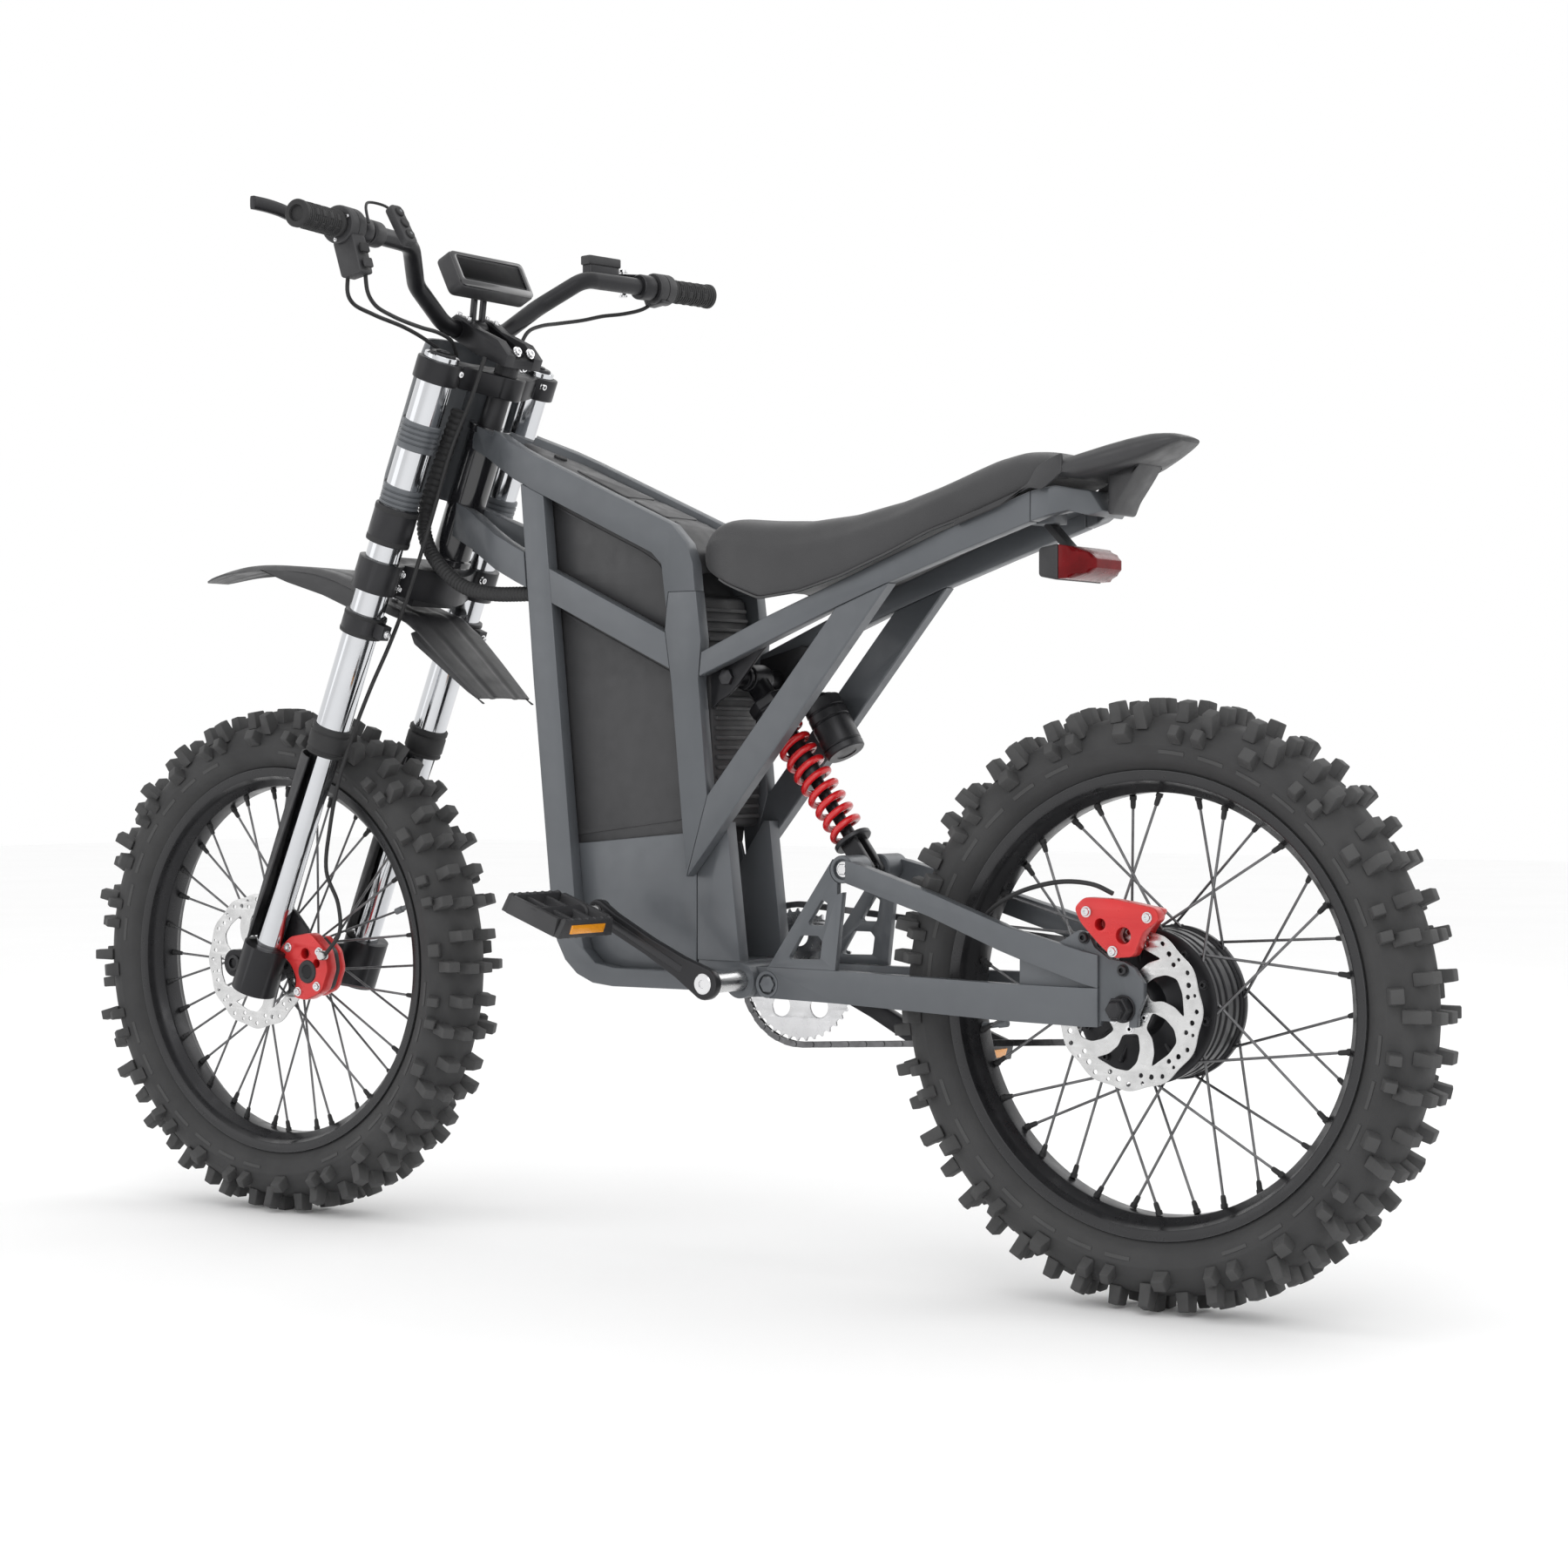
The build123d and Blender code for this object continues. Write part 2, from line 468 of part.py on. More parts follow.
with BuildPart() as rear_axle:
    # axle with washers and hexagonal nuts outside the dropouts
    rod_y(REAR_X, AXLE_Z, 6.95, -112, 112)
    for y0 in (DROP_Y, -DROP_Y - 2.5):
        rod_y(REAR_X, AXLE_Z, 14.5, y0, y0 + 2.5)
    hex_y(REAR_X, AXLE_Z, 24, DROP_Y + 2.5, DROP_Y + 16)
    hex_y(REAR_X, AXLE_Z, 24, -DROP_Y - 16, -DROP_Y - 2.5)
    rod_y(REAR_X, AXLE_Z, 10.0, DROP_Y + 16, DROP_Y + 26)
    rod_y(REAR_X, AXLE_Z, 10.0, -DROP_Y - 26, -DROP_Y - 16)
save(rear_axle, "rear_axle")

with BuildPart() as rear_caliper:
    # two-piston caliper straddling the disc
    prism([(-592, 436), (-604, 448), (-640, 447), (-690, 438), (-696, 426), (-676, 412), (-664, 386), (-640, 382.6), (-622, 398), (-600, 420)], 60, 97)
    prism([(-560, 300), (-740, 300), (-740, 430), (-560, 430)], 73.2, 76.8, mode=Mode.SUBTRACT)
    prism([(-560, 300), (-740, 300), (-740, 414), (-560, 414)], 76, 88, mode=Mode.SUBTRACT)
save(rear_caliper, "rear_caliper")

REAR_HOSE = [(-452, 66, 404), (-470, 66, 428), (-500, 67, 446), (-540, 74, 458), (-580, 84, 463), (-614, 88, 460), (-634, 86, 451.5)]
with BuildPart() as rear_hose:
    cable(REAR_HOSE, 2.6)
save(rear_hose, "rear_hose")

with BuildPart() as chain:
    # closed loop of constant section round the chainring and the rear cog
    for grow, mode in ((4.0, Mode.ADD), (-4.0, Mode.SUBTRACT)):
        with BuildSketch(side_plane(CHAIN_Y + 3.2)) as sk:
            with Locations((BB[0], BB[1])):
                Circle(RING_R + grow)
            with Locations((REAR_X, AXLE_Z)):
                Circle(COG_R + grow)
            make_hull()
        extrude(sk.sketch, amount=6.4, mode=mode)
save(chain, "chain")

# -------------------------------------------------------------------- wheels
TYRE = [(-25.6, 244.5), (-26.4, 254), (-34, 259.5), (-41, 268), (-46, 284), (-50, 298), (-50, 309), (-40, 323), (-22, 330), (22, 330),
        (40, 323), (50, 309), (50, 298), (46, 284), (41, 268), (34, 259.5), (26.4, 254), (25.6, 244.5), (21, 244.5), (24, 256), (32, 266),
        (38, 280), (36, 298), (24, 309), (0, 312), (-24, 309), (-36, 298), (-38, 280), (-32, 266), (-24, 256), (-21, 244.5)]
RIM = [(-32, 241), (-32, 252.5), (-28.5, 252.5), (-27, 244), (-19, 242), (-11, 233), (11, 233), (19, 242), (27, 244), (28.5, 252.5), (32, 252.5),
       (32, 241), (25, 238), (14, 228), (-14, 228), (-25, 238)]


def spoke_set(x, flange_y, flange_r):
    """Laced spokes from both hub flanges to the rim well."""
    for i in range(SPOKES):
        side = 1 if i % 2 else -1
        a_rim = math.radians(i * 360 / SPOKES)
        lead = math.radians(34 if (i // 2) % 2 else -34)
        a_hub = a_rim + lead
        p0 = (x + flange_r * math.cos(a_hub), side * flange_y, AXLE_Z + flange_r * math.sin(a_hub))
        p1 = (x + 226.2 * math.cos(a_rim), side * 6.0, AXLE_Z + 226.2 * math.sin(a_rim))
        rod(p0, p1, 1.6)


def disc(x, y):
    """Brake disc with a bored hub and ventilation windows."""
    rod_y(x, AXLE_Z, DISC_R, y - 1, y + 1)
    for k in range(6):
        a0 = math.radians(k * 60)
        pts = []
        for r, da in ((32, 8), (68, 28), (68, 52), (32, 40)):
            pts.append((x + r * math.cos(a0 + math.radians(da)), AXLE_Z + r * math.sin(a0 + math.radians(da))))
        prism(pts, y - 2, y + 2, radius=3, mode=Mode.SUBTRACT)


with BuildPart() as front_tyre:
    spin_y(TYRE, FRONT_X)
save(front_tyre, "front_tyre")
with BuildPart() as rear_tyre:
    spin_y(TYRE, REAR_X)
save(rear_tyre, "rear_tyre")
with BuildPart() as front_rim:
    spin_y(RIM, FRONT_X)
save(front_rim, "front_rim")
with BuildPart() as rear_rim:
    spin_y(RIM, REAR_X)
save(rear_rim, "rear_rim")
with BuildPart() as front_spokes:
    spoke_set(FRONT_X, 31.5, 32.0)
save(front_spokes, "front_spokes")
with BuildPart() as rear_spokes:
    spoke_set(REAR_X, 30.0, 86.0)
save(rear_spokes, "rear_spokes")

with BuildPart() as front_hub:
    # spool hub, bored for the axle, with the disc seat on the left
    spin_y([(-58, 7.6), (-58, 15), (-36, 16), (-34, 30), (-29, 30), (-27, 18), (27, 18), (29, 30), (34, 30), (36, 24), (62.8, 24), (62.8, 7.6)], FRONT_X)
save(front_hub, "front_hub")
with BuildPart() as hub_motor:
    # wide drum motor, bored for the axle; the freewheel cog is on the right
    spin_y([(-76, 7.05), (-76, COG_R - 4.6), (-72.6, COG_R - 4.6), (-70, 26), (-46, 30), (-38, 62), (-36, 84), (36, 84), (38, 62),
            (50, 34), (73.8, 30), (73.8, 7.05)], REAR_X)
save(hub_motor, "hub_motor")
with BuildPart() as front_disc:
    disc(FRONT_X, FRONT_DISC_Y)
    rod_y(FRONT_X, AXLE_Z, 7.6, 50, 80, mode=Mode.SUBTRACT)
save(front_disc, "front_disc")
with BuildPart() as rear_disc:
    disc(REAR_X, REAR_DISC_Y)
    rod_y(REAR_X, AXLE_Z, 7.1, 60, 90, mode=Mode.SUBTRACT)
save(rear_disc, "rear_disc")

# ---------------------------------------------------------------------- fork
with BuildPart() as fork_tubes:
    # upper tubes with top caps and dust seals
    for y in (LEG_Y, -LEG_Y):
        leg_tube(2, TUBE_END_S, UPPER_TUBE_R, y)
        leg_tube(-3, 2, 17.0, y)
        leg_tube(TUBE_END_S - 6, 531, 25.6, y)
        leg_tube(170, 540, STANCHION_R + 0.05, y, mode=Mode.SUBTRACT)
save(fork_tubes, "fork_tubes")

with BuildPart() as upper_crown:
    # upper triple clamp, bored for the tubes and the steerer
    with BuildSketch(leg_plane(9)) as sk_uc:
        for y in (LEG_Y, -LEG_Y):
            with Locations((0, y)):
                Circle(29)
        with Locations((-STEER_OFFSET, 0)):
            Circle(27)
        with BuildLine():
            Polyline((14, 76), (6, 30), (6, -30), (14, -76), (-18, -76), (-46, -26), (-46, 26), (-18, 76), close=True)
        make_face()
        for y in (LEG_Y, -LEG_Y):
            with Locations((0, y)):
                Circle(UPPER_TUBE_R + 0.02, mode=Mode.SUBTRACT)
        with Locations((-STEER_OFFSET, 0)):
            Circle(15.02, mode=Mode.SUBTRACT)
    extrude(sk_uc.sketch, amount=28)
save(upper_crown, "upper_crown")

with BuildPart() as lower_crown:
    # lower triple clamp and the leg collars
    with BuildSketch(leg_plane(270)) as sk_lc:
        for y in (LEG_Y, -LEG_Y):
            with Locations((0, y)):
                Circle(29)
        with BuildLine():
            Polyline((16, 76), (16, -76), (-14, -76), (-40, -34), (-48, -14), (-48, 14), (-40, 34), (-14, 76), close=True)
        make_face()
        for y in (LEG_Y, -LEG_Y):
            with Locations((0, y)):
                Circle(UPPER_TUBE_R + 0.02, mode=Mode.SUBTRACT)
    extrude(sk_lc.sketch, amount=40)
    # ring clamps above the tyre, with a bolt tab behind each
    for y in (LEG_Y, -LEG_Y):
        leg_tube(341, 369, 27.0, y)
        with BuildSketch(leg_plane(345, 0, y)) as sk_tab:
            with Locations((-30, 0)):
                Rectangle(22, 14)
        extrude(sk_tab.sketch, amount=18)
        leg_tube(335, 375, UPPER_TUBE_R + 0.02, y, mode=Mode.SUBTRACT)
    # broad collars on the legs above the clamp
    for y in (LEG_Y, -LEG_Y):
        leg_tube(200, 248, 27.5, y)
        leg_tube(195, 255, UPPER_TUBE_R + 0.02, y, mode=Mode.SUBTRACT)
    # mounting boss for the mudguard, hanging under the clamp
    with BuildSketch(leg_plane(309.9)) as sk_boss:
        Rectangle(44, 76)
    extrude(sk_boss.sketch, amount=12)
with BuildPart() as steerer:
    # steerer tube, standing on the lower clamp
    leg_tube(-22, 269.9, 15.0, 0, -STEER_OFFSET)
save_group("lower_crown", lower_crown, steerer)

with BuildPart() as stanchions:
    for y in (LEG_Y, -LEG_Y):
        leg_tube(300, 800, STANCHION_R, y, hole=14.5)
save(stanchions, "stanchions")

with BuildPart() as fork_castings:
    # lower leg castings with the axle bosses ahead of the legs
    for s in (1, -1):
        yc = s * (LEG_Y + 3)
        leg_tube(797, 860, 29.0, yc)
        leg_tube(797, 856, STANCHION_R + 0.02, s * LEG_Y, mode=Mode.SUBTRACT)
        lo, hi = (68.5, 106) if s > 0 else (-106, -68.5)
        rod_y(FRONT_X, AXLE_Z, 17.5, lo, hi)
        ax, az = leg(AXLE_S)
        prism([(ax, az - 17), (FRONT_X, AXLE_Z - 17), (FRONT_X, AXLE_Z + 17), (ax, az + 17)], lo, hi)
        leg_tube(797, 803.9, STANCHION_R + 0.02, s * LEG_Y, mode=Mode.SUBTRACT)
    leg_tube(790, 804, STANCHION_R + 0.02, LEG_Y, mode=Mode.SUBTRACT)
    leg_tube(790, 804, STANCHION_R + 0.02, -LEG_Y, mode=Mode.SUBTRACT)
    rod_y(FRONT_X, AXLE_Z, 7.55, -120, 120, mode=Mode.SUBTRACT)
    rod_y(FRONT_X, AXLE_Z, 12.0, 106, 126, mode=Mode.SUBTRACT)
    rod_y(FRONT_X, AXLE_Z, 12.0, -126, -106, mode=Mode.SUBTRACT)
save(fork_castings, "fork_castings")

with BuildPart() as fork_guards:
    # half-round guards ahead of the stanchions, tapering to the castings
    for y in (LEG_Y, -LEG_Y):
        with BuildSketch(leg_plane(535, 0, y)) as sk_g:
            Circle(30)
            Circle(26.5, mode=Mode.SUBTRACT)
            with Locations((-32, 0)):
                Rectangle(88, 80, mode=Mode.SUBTRACT)
        extrude(sk_g.sketch, amount=261.5)
        with BuildSketch(leg_plane(780, 27.0, y)) as sk_g2:
            Rectangle(7, 26)
        extrude(sk_g2.sketch, amount=16.4)
    rod_y(FRONT_X, AXLE_Z, 92, -67, 67, mode=Mode.SUBTRACT)
save(fork_guards, "fork_guards")

with BuildPart() as front_axle:
    rod_y(FRONT_X, AXLE_Z, 7.5, -108, 106)
    rod_y(FRONT_X, AXLE_Z, 11.0, 106, 109)
    hex_y(FRONT_X, AXLE_Z, 19, -116, -106)
save(front_axle, "front_axle")

with BuildPart() as front_caliper:
    # caliper behind the left leg, with the bracket arm to the casting
    prism([(585, 350), (568, 368), (532, 374), (506, 352), (500, 326), (512, 296), (540, 284), (560, 287)], 48, 88)
    prism([(548, 240), (700, 240), (700, 420), (548, 420)], 60.5, 67.5, mode=Mode.SUBTRACT)
    prism([(556, 200), (700, 200), (700, 450), (556, 450)], 40, 66, mode=Mode.SUBTRACT)
    leg_tube(700, 900, 30.2, LEG_Y + 3, mode=Mode.SUBTRACT)
    prism([(575, 345), (580, 380), (566, 388), (545, 372)], 70, 80)
    leg_tube(700, 900, 30.2, LEG_Y + 3, mode=Mode.SUBTRACT)
save(front_caliper, "front_caliper")

HOSE_RUN = [(-10, -36, 56), (45, -37, 60), (110, -35, 66), (180, -37, 67), (250, -39, 69), (318, -37, 69), (372, -31, 68), (430, -32, 80),
            (490, -33, 88), (555, -34, 90), (615, -40, 88)]
FRONT_HOSE = [(leg(s, a)[0], y, leg(s, a)[1]) for s, a, y in HOSE_RUN] + [(505, 84, 451), (480, 89, 410), (474, 93, 374), (498, 93, 346)]
with BuildPart() as front_hose:
    cable(FRONT_HOSE, 2.6)
    rod_y(504, 344, 6.0, 88.0, 98)
save(front_hose, "front_hose")

# ------------------------------------------------------------ bars, controls
HALF = [(331, 52, 1131), (323, 116, 1174), (286, 166, 1214)]
with BuildPart() as handlebar:
    pts = [(GRIP_END[0] + 1.5, -GRIP_END[1] + 8, GRIP_END[2])]
    pts += [(x, -y, z) for x, y, z in reversed(HALF[:3])]
    pts += HALF[:3]
    pts += [(GRIP_END[0] + 1.5, GRIP_END[1] - 8, GRIP_END[2])]
    with BuildLine() as bar_path:
        FilletPolyline(*pts, radius=[42, 48, 60, 60, 48, 42])
    with BuildSketch(Plane(origin=pts[0], z_dir=(Vector(*pts[1]) - Vector(*pts[0])).normalized())) as sk_bar:
        Circle(11.0)
    sweep(sk_bar.sketch, path=bar_path.wire())
save(handlebar, "handlebar")

BAR_IN = Vector(286, 166, 1214)
BAR_OUT = Vector(GRIP_END[0] + 1.5, GRIP_END[1] - 8, GRIP_END[2])
BAR_DIR = (BAR_OUT - BAR_IN).normalized()


def on_bar(y, side=1):
    """Point on the straight outer part of the bar at |y|."""
    t = (y - BAR_IN.Y) / BAR_DIR.Y
    p = BAR_IN + BAR_DIR * t
    return (p.X, side * y, p.Z)


def bar_sleeve(y0, y1, r, side, hole, mode=Mode.ADD):
    """Sleeve round the outer bar between two |y| positions."""
    a, b = Vector(*on_bar(y0, side)), Vector(*on_bar(y1, side))
    with BuildSketch(Plane(origin=a, z_dir=(b - a).normalized())) as sk:
        Circle(r)
        if hole:
            Circle(hole, mode=Mode.SUBTRACT)
    extrude(sk.sketch, amount=(b - a).length, mode=mode)


with BuildPart() as left_grip:
    bar_sleeve(318, 394.4, 16.5, 1, 0)
    bar_sleeve(317, 386.6, 11.03, 1, 0, mode=Mode.SUBTRACT)
save(left_grip, "left_grip")

with BuildPart() as throttle_grip:
    # twist grip, running on the bar
    bar_sleeve(318, 394.4, 16.5, -1, 0)
    bar_sleeve(317, 386.7, 11.08, -1, 0, mode=Mode.SUBTRACT)
save(throttle_grip, "throttle_grip")

with BuildPart() as switch_pods:
    # left housing with its switch box, key pad block and lever perch
    bar_sleeve(286, 316.5, 23, 1, 0)
    prism([(232, 1158), (264, 1153), (276, 1199), (246, 1203)], 289, 311)
    bar_sleeve(262, 284.5, 17, 1, 0)
    prism([(266, 1219), (295, 1213), (316, 1217), (316, 1236), (266, 1231)], 265, 281)
    bar_sleeve(236, 258, 16, 1, 0)
    prism([(210, 1192), (222, 1188), (262, 1212), (262, 1222), (244, 1246), (234, 1246)], 239, 255)
    # right housing, throttle body and lever perch with its fluid reservoir
    bar_sleeve(286, 316.5, 21, -1, 0)
    prism([(258, 1196), (282, 1192), (286, 1210), (264, 1212)], -307, -291)
    bar_sleeve(262, 284.5, 17, -1, 0)
    prism([(266, 1219), (295, 1213), (316, 1217), (316, 1240), (266, 1235)], -281, -265)
    # bores round the bar, and the holes for the lever pins
    for k in (1, -1):
        bar_sleeve(230, 320, 11.02, k, 0, mode=Mode.SUBTRACT)
        rod((306, k * 273, 1200), (306, k * 273, 1260), 4.0, mode=Mode.SUBTRACT)
    bar((316, -204, 1247), (308, -262, 1247), 20, 12)
save(switch_pods, "switch_pods")

for name, z in (("horn_button", 1187), ("light_button", 1169)):
    with BuildPart() as button:
        # cap square to the sloping rear face of the switch box
        face_x = 246 - (1203 - z) * 14 / 45
        out_x, out_z = -45 / 47.13, 14 / 47.13
        bar((face_x + out_x * 5.6, 300, z + out_z * 5.6), (face_x + out_x * 2.1, 300, z + out_z * 2.1), 13.8, 11.8, round_r=2)
    save(button, name)

for name, s in (("left_lever", 1), ("right_lever", -1)):
    with BuildPart() as lever:
        # pivot pin, root below the perch, and the blade ahead of the grip
        rod((306, s * 273, 1201), (306, s * 273, 1249), 3.92)
        bar((306, s * 273, 1206), (340, s * 292, 1209), 12, 7)
        bar((337, s * 290, 1206), (338, s * 300, 1238), 9, 12, up=(1, 0, 0))
        bar((338, s * 294, 1236), (336, s * 386, 1238), 9, 14)
    save(lever, name)

with BuildPart() as stem:
    # two risers from the upper clamp with bar clamps at the top
    for y0 in (18, -34):
        prism([(252, 1078), (300, 1098), (340, 1122), (347, 1131), (343, 1143), (330, 1149), (316, 1143), (300, 1130), (262, 1112), (246, 1092)], y0, y0 + 16)
    prism([(252, 1078), (300, 1098), (309, 1104), (303, 1116), (262, 1100), (248, 1088)], -18, 18)
    leg_tube(-60, 8.8, 15.1, 0, -STEER_OFFSET, mode=Mode.SUBTRACT)
    with BuildSketch(leg_plane(8.8)) as sk_under:
        Rectangle(400, 200)
    extrude(sk_under.sketch, amount=80, mode=Mode.SUBTRACT)
    rod((331, -60, 1131), (331, 60, 1131), 13.0, mode=Mode.SUBTRACT)

with BuildPart() as bar_bushes:
    # split bushes between the bar and its two clamps
    for y0 in (18.5, -33.5):
        rod((331, y0, 1131), (331, y0 + 15, 1131), 12.95)
    rod((331, -60, 1131), (331, 60, 1131), 11.02, mode=Mode.SUBTRACT)
    bar((340, 0, 1131), (345, 0, 1131), 80, 1.2, mode=Mode.SUBTRACT)
save_group("stem", stem, bar_bushes)

with BuildPart() as display:
    # screen housing on its bracket, tilted back towards the rider
    up = Vector(17.5, 0, 35.6).normalized()
    face = Vector(-35.6, 0, 17.5).normalized()
    c = Vector(299, 0, 1200.7)
    with BuildSketch(Plane(origin=c - face * 26, x_dir=(0, 1, 0), z_dir=face)) as sk_d:
        RectangleRounded(140, 52, 5)
    extrude(sk_d.sketch, amount=26)
    with BuildSketch(Plane(origin=c - face * 24, x_dir=(0, 1, 0), z_dir=-up)) as sk_b:
        Rectangle(22, 9)
    extrude(sk_b.sketch, amount=52)
    rod((331, -60, 1131), (331, 60, 1131), 14.0, mode=Mode.SUBTRACT)
save(display, "display")

with BuildPart() as headlight:
    # lamp mask ahead of the legs, with straps round the upper tubes
    with BuildSketch(leg_plane(-2, 34)) as sk_h:
        with BuildLine():
            Polyline((0, 70), (0, -70), (26, -58), (46, -30), (50, 0), (46, 30), (26, 58), close=True)
        make_face()
    extrude(sk_h.sketch, amount=205)
    with BuildSketch(leg_plane(-3, 33)) as sk_h:
        with Locations((4, 0)):
            Rectangle(18, 116)
    extrude(sk_h.sketch, amount=198, mode=Mode.SUBTRACT)
    for y in (LEG_Y, -LEG_Y):
        inward = 1 if y < 0 else -1
        for s0, s1 in ((90, 125), (174, 199)):
            leg_tube(s0, s1, 25.0, y)
            with BuildSketch(leg_plane(s0, 33, y)) as sk_ear:
                with Locations((0, -inward * 14)):
                    Rectangle(20, 22)
            extrude(sk_ear.sketch, amount=s1 - s0)
            leg_tube(s0 - 2, s1 + 2, UPPER_TUBE_R + 0.02, y, mode=Mode.SUBTRACT)
save(headlight, "headlight")

FENDER_TOP = [(784, 831), (735, 841), (677, 847), (608, 845), (540, 836), (480, 815), (445, 795.5), (418, 783.5), (395, 775), (370, 754), (279, 671)]
with BuildPart() as front_fender:
    # curved shell over the wheel: top skin plus side lips
    low = [(x - (2.6 if x < 395 else 0.0), z - 4) for x, z in FENDER_TOP]
    prism(FENDER_TOP + list(reversed(low)), -60, 60)
    with BuildSketch(Plane.XY.offset(600)) as sk_f:
        with BuildLine():
            Polyline((790, 10), (770, 26), (700, 46), (600, 54), (480, 58), (390, 60), (274, 48), (274, -48), (390, -60), (480, -58),
                     (600, -54), (700, -46), (770, -26), (790, -10), close=True)
        make_face()
    extrude(sk_f.sketch, amount=300, mode=Mode.INTERSECT)
    for y0 in (48, -52):
        prism([(660, 843.4), (608, 841.4), (540, 832.4), (480, 811.4), (445, 792), (470, 786), (499, 787), (541, 804), (606, 823)], y0, y0 + 4)
    for y0 in (44, -48):
        prism([(378, 757), (281, 668.4), (272, 660), (300, 676), (392, 738), (396, 752)], y0, y0 + 4)
save(front_fender, "front_fender")

LEFT_CABLE_1 = [(264, 300, 1151), (264, 300, 1138), (270, 285, 1128), (282, 236, 1121), (302, 160, 1116), (322, 96, 1108), (332, 62, 1099), (340, 44, 1080)]
LEFT_CABLE_2 = [(241, 292, 1153), (240, 292, 1138), (246, 274, 1126), (262, 225, 1119), (285, 150, 1116), (300, 100, 1116), (312, 62, 1110), (324, 40, 1096)]
RIGHT_CABLE = [(300, -268, 1184), (318, -245, 1178), (327, -215, 1170), (329, -165, 1160), (324, -125, 1152), (314, -85, 1138), (306, -58, 1112)]
with BuildPart() as control_cables:
    cable(LEFT_CABLE_1, 2.5)
    cable(LEFT_CABLE_2, 2.5)
    cable(RIGHT_CABLE, 2.5)
save(control_cables, "control_cables")

with BuildPart() as cable_duct:
    # corrugated duct beside the head tube and the loom to the frame
    lo_duct, hi_duct = (379, 36, 908), (320, 36, 1032)
    rod(lo_duct, hi_duct, 10.5)
    cable([(379, 36, 907), (380, 38, 882), (365, 43, 854), (335, 49, 827), (300, 50, 806), (255, 53, 797), (212, 55.5, 795)], 9.0)
save(cable_duct, "cable_duct")

# -------------------------------------------------------------- crank, shock
CU = (math.cos(math.radians(CRANK_ANGLE)), math.sin(math.radians(CRANK_ANGLE)))
PEDAL_L = (BB[0] + CRANK_R * CU[0], BB[1] + CRANK_R * CU[1])
PEDAL_R = (BB[0] - CRANK_R * CU[0], BB[1] - CRANK_R * CU[1])
with BuildPart() as crankset:
    # spindle and both arms
    rod_y(BB[0], BB[1], 12.0, -108, 108)
    rod_y(BB[0], BB[1], 20.0, 107, 123)
    rod_y(BB[0], BB[1], 20.0, -123, -107)
    for s, p in ((1, PEDAL_L), (-1, PEDAL_R)):
        y0 = 109 if s > 0 else -121
        rod_y(p[0], p[1], 15.0, y0, y0 + 12)
        u = (CU[0] * s, CU[1] * s)
        n = (-u[1], u[0])
        prism([(BB[0] + n[0] * 17, BB[1] + n[1] * 17), (p[0] + n[0] * 12.5, p[1] + n[1] * 12.5),
               (p[0] - n[0] * 12.5, p[1] - n[1] * 12.5), (BB[0] - n[0] * 17, BB[1] - n[1] * 17)], y0, y0 + 12)
    for p in (PEDAL_L, PEDAL_R):
        rod_y(p[0], p[1], 6.55, -130, 130, mode=Mode.SUBTRACT)
    # chainring carrier
    rod_y(BB[0], BB[1], 26.0, -79.6, -76.0)
save(crankset, "crankset")

with BuildPart() as chainring:
    rod_y(BB[0], BB[1], RING_R - 4.4, -75.8, -72.2)
    rod_y(BB[0], BB[1], 12.02, -80, -70, mode=Mode.SUBTRACT)
    for k in range(5):
        a = math.radians(72 * k + 20)
        rod_y(BB[0] + 48 * math.cos(a), BB[1] + 48 * math.sin(a), 15, -80, -70, mode=Mode.SUBTRACT)
save(chainring, "chainring")

for name, s, p in (("left_pedal", 1, PEDAL_L), ("right_pedal", -1, PEDAL_R)):
    with BuildPart() as pedal:
        # axle and the open cage, nose up
        t = math.radians(20)
        e, n = (math.cos(t), math.sin(t)), (-math.sin(t), math.cos(t))

        def at(a, b):
            return (p[0] + e[0] * a + n[0] * b, p[1] + e[1] * a + n[1] * b)

        lo, hi = (140, 238) if s > 0 else (-238, -140)
        prism([at(-46, -11), at(46, -11), at(46, 11), at(-46, 11)], lo, hi)
        for a in (-24, 24):
            prism([at(a - 12, -12), at(a + 12, -12), at(a + 12, 12), at(a - 12, 12)], lo + 12, hi - 12, mode=Mode.SUBTRACT)
        rod_y(p[0], p[1], 6.5, 108 if s > 0 else -238, 238 if s > 0 else -108)
        rod_y(p[0], p[1], 10, 122 if s > 0 else -140, 140 if s > 0 else -122)
    save(pedal, name)

SV = Vector(LINK[0] - SHOCK_TOP[0], 0, LINK[1] - SHOCK_TOP[1])
SHOCK_L = SV.length
SD = SV.normalized()


def on_shock(s, off=0.0):
    """x, y, z at distance s down the shock from its top eye."""
    return (SHOCK_TOP[0] + SD.X * s, off, SHOCK_TOP[1] + SD.Z * s)


def beside(s, out):
    """x, z at distance s down the shock and out to its rear side."""
    return (SHOCK_TOP[0] + SD.X * s + SD.Z * out, SHOCK_TOP[1] + SD.Z * s - SD.X * out)


with BuildPart() as shock_body:
    # top eye, damper body and the side reservoir
    rod_y(SHOCK_TOP[0], SHOCK_TOP[1], 16.0, -15.5, 15.5)
    rod(on_shock(12), on_shock(34), 16.0)
    rod(on_shock(34), on_shock(62), 27.0)
    rod(on_shock(62), on_shock(150), 12.4)
    bar(on_shock(47), (-183, -24, 661), 22, 20, up=(0, 1, 0))
    rod((-183, -24, 661), (-220, -24, 600), 24.0)
    rod((-178.8, -24, 668), (-183, -24, 661), 18.0)
    rod_y(SHOCK_TOP[0], SHOCK_TOP[1], 10.06, -60, 60, mode=Mode.SUBTRACT)
    rod(on_shock(70), on_shock(151), 8.0, mode=Mode.SUBTRACT)
save(shock_body, "shock_body")

